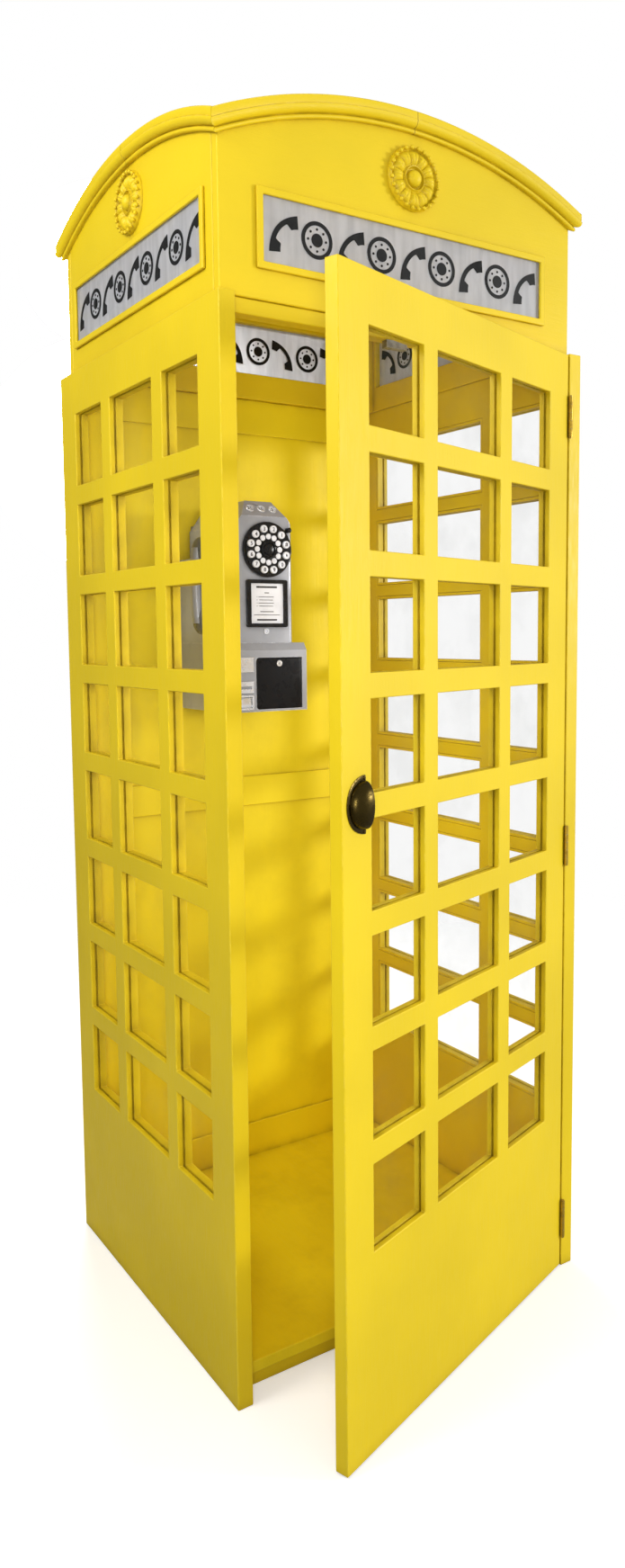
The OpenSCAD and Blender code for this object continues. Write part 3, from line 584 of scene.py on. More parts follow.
def gloss_paint(name, stretch, hues, fineness=420.0, scuff=0.0, shade=None):
    """Brushed yellow gloss: painted shade in corners, rubbed on edges, streaked along the timber."""
    shade = shade or hues.paint
    material, tree, bsdf = shader(name, shade, 0.4, Specular_IOR_Level=0.26)
    brush = use(tree, "brush", Stretch=stretch, Fineness=fineness)
    base = mix(tree, brush["Patches"], tinted(shade, 0.94), tinted(shade, 1.05))
    worn = mix(tree, use(tree, "edge", Radius=0.0035)["Mask"], base, hues.paint_worn)
    # Painted shade: the paint turns to the deep colour where ambient occlusion finds inside corners.
    shade_and_scuffs = mix(tree, use(tree, "corner_shade", Reach=0.03)["Mask"], worn, hues.paint_shade_and_dirt)
    if scuff:
        marks = use(tree, "smudge", Scale=7.0)["Mask"]
        shade_and_scuffs = mix(tree, maths(tree, "MULTIPLY", marks, scuff), shade_and_scuffs, tinted(hues.paint_shade_and_dirt, 0.9))
    rough = ramp(tree, brush["Streaks"], 0, 1, 0.40, 0.54)
    feed(tree, bsdf, shade_and_scuffs, rough, brush["Height"], 0.00035, 0.8)
    return material


def window_glass(name, hues):
    """Thin clear glass, a little clouded by wiping marks."""
    material, tree, bsdf = shader(name, hues.glass, 0.03, Alpha=0.05, IOR=1.5)
    marks = use(tree, "smudge", Scale=5.0)
    tree.links.new(ramp(tree, marks["Mask"], 0, 1, 0.02, 0.05), bsdf.inputs["Alpha"])
    tree.links.new(ramp(tree, marks["Mask"], 0, 1, 0.02, 0.08), bsdf.inputs["Roughness"])
    return material


def opal_glass(name, hues):
    """Frosted glass that lets light through: clouded, with rain streaks running down."""
    material, tree, bsdf = shader(name, hues.opal, 0.45, Transmission_Weight=0.55)
    streaks = use(tree, "brush", Stretch=(1, 1, 0.12), Fineness=60.0)
    grime = use(tree, "smudge", Scale=9.0)
    base = mix(tree, streaks["Streaks"], tinted(hues.opal, 0.86), tinted(hues.opal, 1.08))
    darkened = mix(tree, ramp(tree, grime["Mask"], 0, 1, 0, 0.22), base, tinted(hues.opal, 0.6))
    feed(tree, bsdf, darkened, ramp(tree, grime["Mask"], 0, 1, 0.35, 0.6), grime["Fine"], 0.0001)
    return material


def plastic(name, shade, roughness=0.22, **plain):
    """Moulded plastic or gloss enamel with a faint texture and handling marks."""
    material, tree, bsdf = shader(name, shade, roughness, **plain)
    marks = use(tree, "smudge", Scale=22.0)
    base = mix(tree, ramp(tree, marks["Mask"], 0, 1, 0, 0.35), shade, tinted(shade, 0.78))
    rough = ramp(tree, marks["Mask"], 0, 1, roughness * 0.85, roughness * 1.5)
    feed(tree, bsdf, base, rough, marks["Fine"], 0.00006)
    return material


def enamel(name, shade, hues):
    """Silver-grey enamel on sheet metal: fine flake, soft clouds, bright rubbed edges, painted shade in corners.
    """
    material, tree, bsdf = shader(name, shade, 0.34, 0.25, Coat_Weight=0.2, Coat_Roughness=0.12)
    marks = use(tree, "smudge", Scale=14.0)
    base = mix(tree, marks["Fine"], tinted(shade, 0.88), tinted(shade, 1.12))
    clouded = mix(tree, ramp(tree, marks["Mask"], 0, 1, 0, 0.3), base, tinted(shade, 0.75))
    worn = mix(tree, use(tree, "edge", Radius=0.002, Breakup=90.0)["Mask"], clouded, hues.chrome)
    # Painted shade: darker in inside corners, found by ambient occlusion.
    darkened = mix(tree, use(tree, "corner_shade", Reach=0.012)["Mask"], worn, tinted(shade, 0.35))
    rough = ramp(tree, marks["Mask"], 0, 1, 0.28, 0.46)
    feed(tree, bsdf, darkened, rough, marks["Fine"], 0.00008, 0.6)
    return material


def metal(name, shade, roughness, worn, age=0.5, metallic=1.0):
    """Bare or plated metal: clouded tone, painted shade in the corners and rubbed bright edges."""
    material, tree, bsdf = shader(name, shade, roughness, metallic)
    marks = use(tree, "smudge", Scale=60.0)
    base = mix(tree, ramp(tree, marks["Mask"], 0, 1, 0, age), shade, tinted(shade, 0.45))
    rubbed = mix(tree, use(tree, "edge", Radius=0.0015, Breakup=200.0)["Mask"], base, worn)
    # Painted shade: darker in inside corners, found by ambient occlusion.
    darkened = mix(tree, use(tree, "corner_shade", Reach=0.006)["Mask"], rubbed, tinted(shade, 0.2))
    rough = ramp(tree, marks["Mask"], 0, 1, roughness * 0.8, roughness * 1.6)
    feed(tree, bsdf, darkened, rough, marks["Fine"], 0.00005)
    return material


UPRIGHT, ACROSS, DEEP = (1, 1, 0.05), (0.05, 1, 1), (1, 0.05, 1)
FINISHES = {}


def finish(name):
    """A finish by its name, made the first time it is asked for."""
    hues = bpy.context.scene.kiosk_colours
    makers = {
        "upright paint": lambda: gloss_paint("upright_paint", UPRIGHT, hues),
        "level paint": lambda: gloss_paint("level_paint", ACROSS, hues),
        # The floor, back boards and back frame take the brightened inside paint, which is painted light.
        "floor paint": lambda: gloss_paint(
            "floor_paint", DEEP, hues, 260.0, 0.18, tinted(hues.paint_brightened_inside, 0.93)
        ),
        "board paint": lambda: gloss_paint(
            "board_paint", UPRIGHT, hues, 200.0, 0.1, hues.paint_brightened_inside
        ),
        "back paint": lambda: gloss_paint("back_paint", UPRIGHT, hues, shade=hues.paint_brightened_inside),
        "window glass": lambda: window_glass("window_glass", hues),
        "opal glass": lambda: opal_glass("opal_glass", hues),
        "sign black": lambda: plastic("sign_black", hues.mark, 0.5, Specular_IOR_Level=0.2),
        "bronze": lambda: metal("aged_bronze", hues.bronze, 0.32, (0.30, 0.20, 0.06)),
        "chrome": lambda: metal("bright_chrome", hues.chrome, 0.2, (0.95, 0.95, 0.95), 0.2, 0.55),
        "steel": lambda: metal("plated_steel", hues.steel, 0.38, (0.7, 0.69, 0.66)),
        "hinge": lambda: metal("painted_hinge", (0.55, 0.36, 0.05), 0.42, (0.62, 0.55, 0.35)),
        "enamel": lambda: enamel("grey_enamel", hues.enamel, hues),
        "cup grey": lambda: plastic("cup_grey", (0.13, 0.13, 0.13), 0.3),
        "black plastic": lambda: plastic("black_plastic", hues.black, 0.25, Specular_IOR_Level=0.3),
        "black enamel": lambda: plastic(
            "black_enamel", tinted(hues.black, 1.2), 0.3, Specular_IOR_Level=0.15
        ),
        "white plastic": lambda: plastic("white_plastic", hues.white, 0.2),
        "card": lambda: plastic("printed_card", tinted(hues.white, 1.05), 0.5),
        "print": lambda: plastic("printed_ink", (0.03, 0.03, 0.03), 0.5),
        "board": lambda: plastic("circuit_green", (0.02, 0.13, 0.05), 0.35),
    }
    if name not in FINISHES:
        FINISHES[name] = makers[name]()
    return FINISHES[name]


# ------------------------------------------------------------------ operators


class KIOSK_OT_carcass(bpy.types.Operator):
    """Floor, joists, side frames, back frame, panels and head rail with worn, rounded edges"""

    bl_idname = "kiosk.carcass"
    bl_label = "Carcass"

    def execute(self, context):
        sizes = context.scene.kiosk_sizes
        paints = {
            "left_side_frame": "upright paint",
            "right_side_frame": "upright paint",
            "back_frame": "back paint",
            "back_panels": "board paint",
            "floor_board": "floor paint",
            "floor_joists": "level paint",
            "header_rail": "level paint",
            "corner_posts": "upright paint",
        }
        for node, paint in paints.items():
            share = BLUNT if node == "header_rail" else 1
            boards(node, paint, sizes.timber_round * share)
        boards("side_beads", "upright paint", sizes.bead_round)
        dressed("side_glass", "window glass")
        return {"FINISHED"}


class KIOSK_OT_sign_box(bpy.types.Operator):
    """Fascias, sign glass, sign mouldings, bent cornices and the domed roof"""

    bl_idname = "kiosk.sign_box"
    bl_label = "Sign box"

    def execute(self, context):
        self.low, self.high = corners("roof_shell")
        self.dome_z, self.radius = dome_of_roof(self.low, self.high)
        self.fascias(context.scene.kiosk_sizes)
        boards("sign_mouldings", "level paint", MOULDING_ROUND)
        dressed("sign_glass", "opal glass")
        self.cornices()
        self.roof()
        return {"FINISHED"}

    def fascias(self, sizes):
        """Each wall is a lattice of cells whose top row rises to the sphere under the roof.

        The lattice has a plane at each edge of the sign's opening, whose cells are left empty.
        """
        base = corners("fascias")[0]
        low, high = corners("sign_glass")
        walls = []
        for wall in range(4):
            out = self.high[1 - wall % 2]
            ends = self.high[1] - FASCIA - GAP if wall % 2 else self.high[0]
            sign = SIGN_HALVES[wall % 2] + 0.004
            side = np.linspace(-ends, -sign, 5)
            x = np.concatenate([side, np.linspace(-sign, sign, 19)[1:-1], -side[::-1]])
            z = np.array([base[2], low[2] - GAP, high[2] + GAP, 0.0])
            solid = np.ones((len(x) - 1, 1, 3), bool)
            solid[4:-4, :, 1] = False
            lattice = np.stack(np.meshgrid(x, [-out, FASCIA - out], z, indexing="ij"), axis=-1)
            square = lattice[:, :, -1, 0] ** 2 + lattice[:, :, -1, 1] ** 2
            under = self.radius - ROOF_SHELL - GAP
            lattice[:, :, -1, 2] = self.dome_z + np.sqrt(under**2 - square)
            points, faces = cell_quads(solid, lattice)
            walls.append((quarter_turned(points, wall), faces))
        obj = covering("painted_fascias", joined(walls), "level paint", "fascias", smooth=False)
        rounded(obj, BLUNT * sizes.timber_round)

    def cornices(self):
        """A stepped moulding profile carried along each arch.

        A profile point at radius r and projection h ends where r sin(t) = half length + h, which
        is the mitre plane at the corner, and each half starts just off the crown.
        """
        half = (self.high - self.low)[:2] / 2
        project = corners("cornices")[1][0] - half[0]
        lengths = []
        for wall in range(4):
            reach, out = half[::-1] if wall % 2 else half
            outline = self.moulding(math.sqrt(self.radius**2 - out**2) + 0.0012, project)
            r, h = outline.T
            end = np.arcsin((reach - GAP + h) / r)
            start = 0.0007 / r
            for side in (-1, 1):
                angle = side * (start + (end - start) * np.linspace(0, 1, 25)[:, None])
                x = r * np.sin(angle)
                rings = np.stack([x, 0 * x - out - h, self.dome_z + r * np.cos(angle)], axis=-1)
                lengths.append(capped(quarter_turned(rings, wall)))
        covering("moulded_cornices", joined(lengths), "level paint", "cornices")

    def moulding(self, top, out):
        """Closed outline of the moulding as (radius, projection): bead, cove, step and top."""
        foot = top - 0.038
        bead = arc((foot + 0.004, out * 0.30), 0.0042, -170, -10, 6)
        bead[:, 1] = out * 0.60 - bead[:, 1]
        cove = arc((foot + 0.0215, out * 0.42), 0.0125, 180, 90, 8)
        return np.concatenate([
            [[foot, 0.0], [foot, out * 0.22]], bead, cove,
            [[foot + 0.0225, out * 0.94], [foot + 0.0245, out]],
            [[top - 0.002, out], [top, out * 0.9], [top, 0.0]],
        ])

    def roof(self):
        """Part of a thick sphere over a rectangle: z = centre + sqrt(R^2 - x^2 - y^2)."""
        x = np.linspace(self.low[0], self.high[0], 49)[:, None]
        y = np.linspace(self.low[1], self.high[1], 49)[None, :]
        layers = []
        for r in (self.radius, self.radius - ROOF_SHELL):
            z = self.dome_z + np.sqrt(r**2 - x**2 - y**2)
            layers.append(np.stack([x + 0 * y, y + 0 * x, z], axis=-1))
        rim = [np.concatenate([g[:, 0], g[-1, 1:], g[-2::-1, -1], g[0, -2:0:-1]]) for g in layers]
        sheets = [as_grid(layers[0]), as_grid(layers[1]), as_grid(np.stack(rim), wrap_v=True)]
        covering("domed_roof", joined(sheets), "level paint", "roof_shell")


def dome_of_roof(low, high):
    """Height of the roof sphere's centre and its radius, from the roof's box.

    The crown is at centre + R and the outer corner at centre + sqrt(R^2 - x^2 - y^2); the box's
    lowest point is the inner corner, one thickness of the shell inside the sphere.
    """
    reach = high[0] ** 2 + high[1] ** 2
    radius = 1.0
    for _ in range(60):
        inner = radius - ROOF_SHELL
        corner = math.sqrt(max(inner**2 - reach, 1e-9))
        radius -= (radius - corner - high[2] + low[2]) / (1 - inner / corner)
    return high[2] - radius, radius


class KIOSK_OT_signs(bpy.types.Operator):
    """A frieze of plain pictograms, handsets and dials, on both faces of each sign glass"""

    bl_idname = "kiosk.signs"
    bl_label = "Sign marks"

    def execute(self, context):
        sizes = context.scene.kiosk_sizes
        low, high = corners("sign_glass")
        depth, marks = sizes.mark_depth, []
        for wall in range(4):
            out = high[1 - wall % 2]
            pitch = 2 * SIGN_HALVES[wall % 2] / (sizes.sign_marks + 0.15)
            for i in range(sizes.sign_marks):
                x = (i - (sizes.sign_marks - 1) / 2) * pitch
                for flat in self.dial(sizes, pitch) if i % 2 else self.handset(sizes):
                    for y in (-out - depth, SIGN_GLASS - out):
                        body = self.thick(flat, (x, y, (low[2] + high[2]) / 2), depth)
                        body = quarter_turned(body, wall)
                        marks.append(as_grid(body, True, True) if i % 2 else capped(body))
        piece("sign_pictograms", joined(marks), "sign black", "sign_glass", smooth=False,
              slot="black_plastic")
        return {"FINISHED"}

    def thick(self, flat, place, depth):
        """Gives a flat strip of (inner, outer) point pairs a rectangular section."""
        inner, outer = flat[:, 0], flat[:, 1]
        section = [(inner, 0), (outer, 0), (outer, depth), (inner, depth)]
        rings = [np.stack([p[:, 0], np.full(len(p), d), p[:, 1]], -1) for p, d in section]
        return np.stack(rings, axis=1) + place

    def handset(self, sizes):
        """A bowed strip leaning over by 40 degrees, with a square cup standing on either end.

        The strip's middle line is a circle's arc, and its inner edge drops by a smooth step past
        the middle of each half, which makes the cups.
        """
        t = np.linspace(-1, 1, 49)
        bow = 0.80
        angle = t * bow
        radius = sizes.mark_height / 2 / math.sin(bow)
        outer = radius + 0.0045 + 0.002 * t**4
        inner = radius - 0.0050 - 0.0125 * (1 + np.tanh((np.abs(t) - 0.50) * 30)) / 2
        ray = np.stack([-np.cos(angle), np.sin(angle)], -1)
        strip = np.stack([ray * inner[:, None], ray * outer[:, None]], axis=1)
        strip[..., 0] += radius * bow
        c, s = math.cos(math.radians(-40)), math.sin(math.radians(-40))
        return [strip @ np.array([[c, s], [-s, c]])]

    def dial(self, sizes, pitch):
        """A ring, a disc within it and eight studs, each a closed strip about one centre."""
        unit = all_round(40)[1]
        outer = min(sizes.mark_height / 2, pitch * 0.46)
        strips = [(unit * (outer - 0.0075), unit * outer), (unit * 0, unit * outer * 0.36)]
        for at in unit[::5] * outer * 0.58:
            strips.append((at + unit[::4] * 0, at + unit[::4] * 0.0024))
        return [np.stack(strip, axis=1) for strip in strips]


class KIOSK_OT_medallions(bpy.types.Operator):
    """A cast rosette with petals, a beaded rim and a domed boss on each wall of the sign box"""

    bl_idname = "kiosk.medallions"
    bl_label = "Medallions"

    def execute(self, context):
        points = triangles("medallions").reshape(-1, 3)
        roof = corners("roof_shell")[1]
        bands = [points[points[:, 1 - i] < -roof[1 - i], 2] for i in (0, 1)]
        radius = np.ptp(bands[0]) / 2
        height = corners("medallions")[1][1] - roof[1]
        grids = [self.relief(context.scene.kiosk_sizes.petals, radius, height), *self.beads(radius)]
        parts = []
        for wall in range(4):
            band = bands[wall % 2]
            centre = (0, -roof[1 - wall % 2], (band.min() + band.max()) / 2)
            for grid in grids:
                stood = facing(grid, centre, (0, -1, 0))
                parts.append(as_grid(quarter_turned(stood, wall), wrap_v=True))
        covering("cast_medallions", joined(parts), "level paint", "medallions")
        return {"FINISHED"}

    def relief(self, petals, radius, height):
        """Height over a disc, by radius r and angle a.

        A raised rim near r = 0.93, petals as |cos(n a / 2)| arches between 0.42 and 0.86, a ring
        at 0.4 and a boss inside 0.3. The outline ripples a little with the petals.
        """
        a, unit = all_round(192)
        r = np.concatenate([np.linspace(0, 0.96, 70), [0.985, 1.0, 1.0, 0.0]])[:, None]
        wave = np.abs(np.cos(a * petals / 2)) ** 0.7
        rim = 0.36 * np.exp(-(((r - 0.93) / 0.035) ** 2))
        arch = np.clip(np.sin((r - 0.40) / 0.47 * math.pi), 0, 1) * ((r > 0.40) & (r < 0.87))
        rib = 0.10 * np.exp(-((((a * petals / FULL_TURN + 0.5) % 1 - 0.5) / 0.07) ** 2))
        petal = arch**0.8 * (0.20 + 0.34 * wave - rib)
        ring = 0.40 * np.exp(-(((r - 0.37) / 0.032) ** 2))
        boss = 0.86 * np.sqrt(np.clip(1 - (r / 0.27) ** 2, 0, 1))
        h = 0.20 + rim + petal + ring + boss
        h[-3:] = [[0.12], [0.0], [0.0]]
        spread = radius * r * (1 - 0.018 * (1 - wave) * (r > 0.9))
        return np.dstack([spread[..., None] * unit, h * height + 0 * a])

    def beads(self, radius):
        """Small balls set round the rim: turned half circles."""
        ball = [(0.0042 * math.sin(t), 0.0042 * math.cos(t)) for t in np.linspace(0, math.pi, 8)]
        turns = (np.arange(BEADS_ROUND) + 0.5) * FULL_TURN / BEADS_ROUND
        spots = np.stack([np.cos(turns), np.sin(turns), 0 * turns], -1) * radius * 0.93
        return [turned(ball, 10) + spot + (0, 0, 0.0105) for spot in spots]


class KIOSK_OT_door(bpy.types.Operator):
    """Door frame and beads, rebuilt square at the angle where the door stands, and its glass"""

    bl_idname = "kiosk.door"
    bl_label = "Door"

    def execute(self, context):
        sizes = context.scene.kiosk_sizes
        for node, radius in (("door_frame", sizes.timber_round), ("door_beads", sizes.bead_round)):
            boards(node, "upright paint", radius, DOOR_TURN, JOINTS["door_hinge"]["pos_m"][:2])
        dressed("door_glass", "window glass")
        dressed("catch_plate", "steel")
        dressed("catch_magnet", "steel")
        return {"FINISHED"}


class KIOSK_OT_hinges(bpy.types.Operator):
    """Leaves, knuckles and pins of the three butt hinges"""

    bl_idname = "kiosk.hinges"
    bl_label = "Hinges"

    def execute(self, context):
        for node in ("frame_hinge_leaves", "door_hinge_leaves", "hinge_pins"):
            softened(node, "worn", "hinge", context.scene.kiosk_sizes.small_round * 0.6)
        return {"FINISHED"}


class KIOSK_OT_cup_pull(bpy.types.Operator):
    """Cast cup pull: a quarter ellipsoid shell on a rolled rim, with two slotted screws"""

    bl_idname = "kiosk.cup_pull"
    bl_label = "Cup pull"

    def execute(self, context):
        along = np.array([math.cos(DOOR_TURN), math.sin(DOOR_TURN), 0])
        out = np.array([math.sin(DOOR_TURN), -math.cos(DOOR_TURN), 0])
        low, high = corners("cup_pull_screws")
        centre = (low + high) / 2 + out * 0.004
        bowl = joined([self.bowl(), self.rim()])
        bowl = bowl[0] @ np.stack([along, (0, 0, 1), out]) + centre, bowl[1]
        covering("cast_cup_pull", bowl, "bronze", "cup_pull")
        self.screws(centre, out, (high[2] - low[2]) / 2 - 0.0034)
        return {"FINISHED"}

    def bowl(self):
        """Bowl: x = -A cos a cos b, z = L sin a, depth = H cos(a)^0.72 sin b, in two layers.

        The angle a runs along the pull and b from the rim up to the mouth. Local x points from
        the mouth towards the door's free edge, and the wall is closed by an inner shell.
        """
        a = np.linspace(-math.pi / 2, math.pi / 2, 61)[:, None]
        b = np.linspace(0, math.pi / 2, 25)[None, :]
        layers = []
        for inset in (0.0, 0.0018):
            wide, long, high = 0.041 - inset, 0.0425 - inset, 0.0245 - inset
            x = -wide * np.cos(a) ** 0.9 * np.cos(b)
            h = high * np.cos(a) ** 0.72 * np.sin(b)
            layers.append(np.stack([x, long * np.sin(a) + 0 * b, h + 0.0006], axis=-1))
        edges = [np.stack([layer[:, i] for layer in layers]) for i in (-1, 0)]
        return joined([as_grid(grid) for grid in (*layers, *edges)])

    def rim(self):
        """Flange: a flat band round the bowl with a half-round edge, ending in two eyes."""
        a = np.linspace(-math.pi / 2, math.pi / 2, 61)
        inner = np.stack([-0.0395 * np.cos(a), 0.041 * np.sin(a)], -1)
        outer = np.stack([-0.0475 * np.cos(a), 0.0515 * np.sin(a)], -1)
        outer[:, 0] += 0.0045 * np.abs(np.sin(a)) ** 8
        inner[:, 0] += 0.0045 * np.abs(np.sin(a)) ** 8
        middle = (inner + outer) / 2
        section = [(inner, 0.0), (outer, 0.0), (outer, 0.0012), (middle, 0.0024), (inner, 0.0016)]
        rings = [np.concatenate([p, np.full((len(p), 1), h)], axis=1) for p, h in section]
        return capped(np.stack(rings, axis=1))

    def screws(self, centre, out, half):
        """Raised heads, turned from a shallow arc, with a slot pressed across each."""
        arch = np.linspace(0, 1.57, 9)
        profile = [(0.0034 * math.sin(t), 0.0016 * math.cos(t) + 0.0022) for t in arch]
        profile += [(0.0034, 0.0004), (0.0019, 0.0), (0.0019, -0.011), (0.0, -0.012)]
        rings = turned(profile, 32)
        slot = (np.abs(rings[..., 0]) < 0.0005) & (rings[..., 2] > 0.002)
        rings[..., 2] -= 0.0009 * slot
        places = [centre + (0, 0, z) for z in (-half, half)]
        heads = [as_grid(facing(rings, place, out), wrap_v=True) for place in places]
        covering("pull_screws", joined(heads), "bronze", "cup_pull_screws")


class KIOSK_OT_payphone(bpy.types.Operator):
    """Sheet metal housings, locks, coin gates, return pocket and the parts inside"""

    bl_idname = "kiosk.payphone"
    bl_label = "Payphone"

    def execute(self, context):
        case, small = context.scene.kiosk_sizes.case_round, context.scene.kiosk_sizes.small_round
        housings = "upper_housing", "coin_head", "lower_housing", "handset_cradle"
        fittings = "upper_lock", "vault_lock", "return_bezel", "return_flap", "hook_lever"
        for prefix, look, radius, segments, nodes in (
            ("enamelled", "enamel", case, 3, housings),
            ("rounded", "black plastic", MOULDED_ROUND, 3, ["card_frame"]),
            ("bright", "chrome", small, 2, fittings),
            ("moulded", "black plastic", small * 2, 2, ["dial_plate"]),
            ("moulded", "black plastic", MOULDED_ROUND, 3, ["release_button"]),
        ):
            for node in nodes:
                softened(node, prefix, look, radius, segments)
        for node in ("back_plate", "coin_box", "coin_chute", "ringer"):
            dressed(node, "steel")
        dressed("circuit_board", "board")
        dressed("instruction_card", "card")
        self.vault_door()
        self.coin_gates()
        self.card_print()
        return {"FINISHED"}

    def vault_door(self):
        """A pillow of rounded rectangles: each ring is inset and set back along a quarter circle.

        Four webs round the door's opening, each a square corner less a quarter disc. On the hinge
        side they lie behind the door, whose edge turns within its own thickness.
        """
        low, high = corners("vault_door")
        low[2] += 0.003
        high[2] -= 0.003
        front, back, corner, gap = 0.003, 0.0039, 0.008, 0.0006
        sine = np.sin(np.radians(np.linspace(90, 0, 6)))
        cosine = np.cos(np.radians(np.linspace(90, 0, 6)))
        inset = np.concatenate([front * (1 - cosine), back * (1 - cosine[::-1])])
        depth = np.concatenate([low[1] + front * (1 - sine), high[1] - back * (1 - sine[::-1])])
        rings = []
        for y, step in zip(depth, inset):
            flat = rounded_outline(low[[0, 2]] + step, high[[0, 2]] - step, corner - step)
            rings.append(upright(flat, y))
        covering("black_vault_door", capped(np.stack(rings)), "black enamel", "vault_door")
        web = np.array([[0, 0], *(corner + gap - arc((0, 0), corner + gap, 0, 90, 8))])
        webs = []
        for x, i, ends in (
            (low[0] - gap, 1, (low[1] + 0.0001, low[1] + 0.006)),
            (high[0] + gap, -1, (high[1] + 0.0002, high[1] + 0.0018)),
        ):
            for z, j in ((low[2] - gap, 1), (high[2] + gap, -1)):
                loop = web * (i, j) + (x, z)
                webs.append(capped(np.stack([upright(loop, y) for y in ends])))
        piece("vault_corner_webs", joined(webs), "enamel", "lower_housing", smooth=False)

    def coin_gates(self):
        """Three turned rings on the head's slope, each round a disc with its coin's value."""
        node = "coin_slot_rings"
        low, high = corners(node)
        head_low, head_high = corners("coin_head")
        lean = math.atan2(0.030, head_high[2] - head_low[2])
        out = np.array([0, -math.cos(lean), math.sin(lean)])
        middle = (low[0] + high[0]) / 2, head_low[1] + 0.015, (head_low[2] + head_high[2]) / 2
        gap = (high[0] - low[0]) / 2 - 0.011
        disc = [(0.0, 0.0), (0.0074, 0.0), (0.0078, -0.0006), (0.0078, -0.004), (0.0, -0.004)]
        rim = [(0.0080, -0.0040), (0.0080, 0.0012), (0.0088, 0.0026), (0.0098, 0.0028),
               (0.0107, 0.0018), (0.0110, 0.0), (0.0088, -0.004), (0.0080, -0.0040)]
        centres = [np.array(middle) + (x, 0, 0) for x in (-gap, 0, gap)]
        for centre, value in zip(centres, ("25", "10", "5")):
            numeral(value, "coin_value_" + value, 0.0126, centre + out * 0.0001, out, node)
        for name, profile, look in (("rings", rim, "chrome"), ("discs", disc, "white plastic")):
            parts = [lathe(profile, 40, c, out) for c in centres]
            covering("coin_gate_" + name, joined(parts), look, node)

    def card_print(self):
        """Plain ruled lines in place of words, as (middle, height, width, thickness) shares."""
        low, high = corners("instruction_card")
        rules = [(0.5, 0.90, 0.62, 0.045), (0.5, 0.10, 0.60, 0.040), (0.5, 0.76, 0.14, 0.02)]
        for i in range(4):
            row = 0.66 - 0.075 * i
            rules += [(0.48, row, 0.46 - 0.05 * (i % 2), 0.014), (0.21, row, 0.018, 0.018)]
        rules += [(0.5, 0.30, 0.40, 0.02), (0.5, 0.22, 0.78, 0.014)]
        lines = np.array(rules)
        spread = (high - low)[[0, 2]]
        square = np.array([[-1, -1], [1, -1], [1, 1], [-1, 1]]) / 2
        flat = (lines[:, None, :2] + lines[:, None, 2:] * square) * spread + low[[0, 2]]
        bars = [capped(np.stack([upright(f, low[1] - d) for d in (0.0, 0.00015)])) for f in flat]
        piece("card_rules", joined(bars), "print", "instruction_card", smooth=False,
              slot="black_plastic")


class KIOSK_OT_dial(bpy.types.Operator):
    """Hub, white studs and the twelve numbered push buttons"""

    bl_idname = "kiosk.dial"
    bl_label = "Dial and buttons"

    LABELS = "21#*09876543"
    OUT = np.array([0.0, -1.0, 0.0])

    def execute(self, context):
        centre = front_of("dial_plate")[0]
        self.hub(centre)
        self.studs(centre)
        for number, label in enumerate(self.LABELS, 1):
            self.button(f"{number:02d}", label)
        return {"FINISHED"}

    def hub(self, centre):
        """A dished cap: rings of radius and height with a raised collar and a domed middle."""
        profile = [(0.0, 0.0042), (0.008, 0.0038), (0.0128, 0.0028), (0.0142, 0.0010),
                   (0.0158, 0.0010), (0.0166, 0.0044), (0.0180, 0.0052), (0.0196, 0.0046),
                   (0.0205, 0.0030), (0.0208, 0.0), (0.0208, -0.0018), (0.0, -0.0018)]
        covering("dial_cap", lathe(profile, 64, centre, self.OUT), "black plastic", "dial_hub")

    def studs(self, centre):
        """Low domes in a ring: height = 2.2 mm * cos(edge share), turned about each centre."""
        dome = [(0.0068 * s, 0.0012 + 0.0022 * math.cos(s * 1.45)) for s in np.linspace(0, 1, 8)]
        dome += [(0.0069, 0.0), (0.0069, -0.0018), (0.0, -0.0018)]
        turns = np.radians(np.arange(len(self.LABELS)) * 30)
        spots = np.stack([np.sin(turns), 0 * turns, np.cos(turns)], -1) * 0.031 + centre
        parts = [lathe(dome, 24, spot, self.OUT) for spot in spots]
        covering("white_studs", joined(parts), "white plastic", "dial_hub", slot="white_plastic")

    def button(self, number, label):
        """A dished cap with a rolled edge and a straight skirt, and its numeral in relief."""
        node = "push_button_" + number
        centre, r, depth = front_of(node)
        profile = [(0.0, -0.0010), (r * 0.45, -0.0008), (r * 0.72, -0.0003), (r * 0.84, 0.0),
                   (r * 0.92, -0.0002), (r * 0.975, -0.0008), (r, -0.0018), (r, -depth),
                   (0.0, -depth)]
        cap = lathe(profile, 40, centre, self.OUT)
        covering("numbered_button_" + number, cap, "white plastic", node)
        above = centre - self.OUT * 0.0006
        numeral(label, "button_numeral_" + number, 0.0128, above, self.OUT, node)


def numeral(text, name, size, centre, out, node):
    """A figure in the built-in face as a thin solid, centred on a point and facing outwards."""
    curve = bpy.data.curves.new(name, "FONT")
    curve.body = text
    curve.align_x = "CENTER"
    curve.align_y = "CENTER"
    curve.resolution_u = 5
    curve.extrude = FIGURE_DEPTH
    curve.offset = FIGURE_WEIGHT
    holder = linked(name + "_outline", curve)
    bpy.context.view_layer.update()
    graph = bpy.context.evaluated_depsgraph_get()
    mesh = bpy.data.meshes.new_from_object(holder.evaluated_get(graph))
    bpy.data.objects.remove(holder)
    bpy.data.curves.remove(curve)
    points = read_points(mesh)
    points[:, :2] -= (points[:, :2].max(0) + points[:, :2].min(0)) / 2
    mesh.vertices.foreach_set("co", facing(points * size, centre, out).ravel())
    mesh.name = name
    outward(mesh, 2e-7)
    return placed(name, mesh, "print", node)


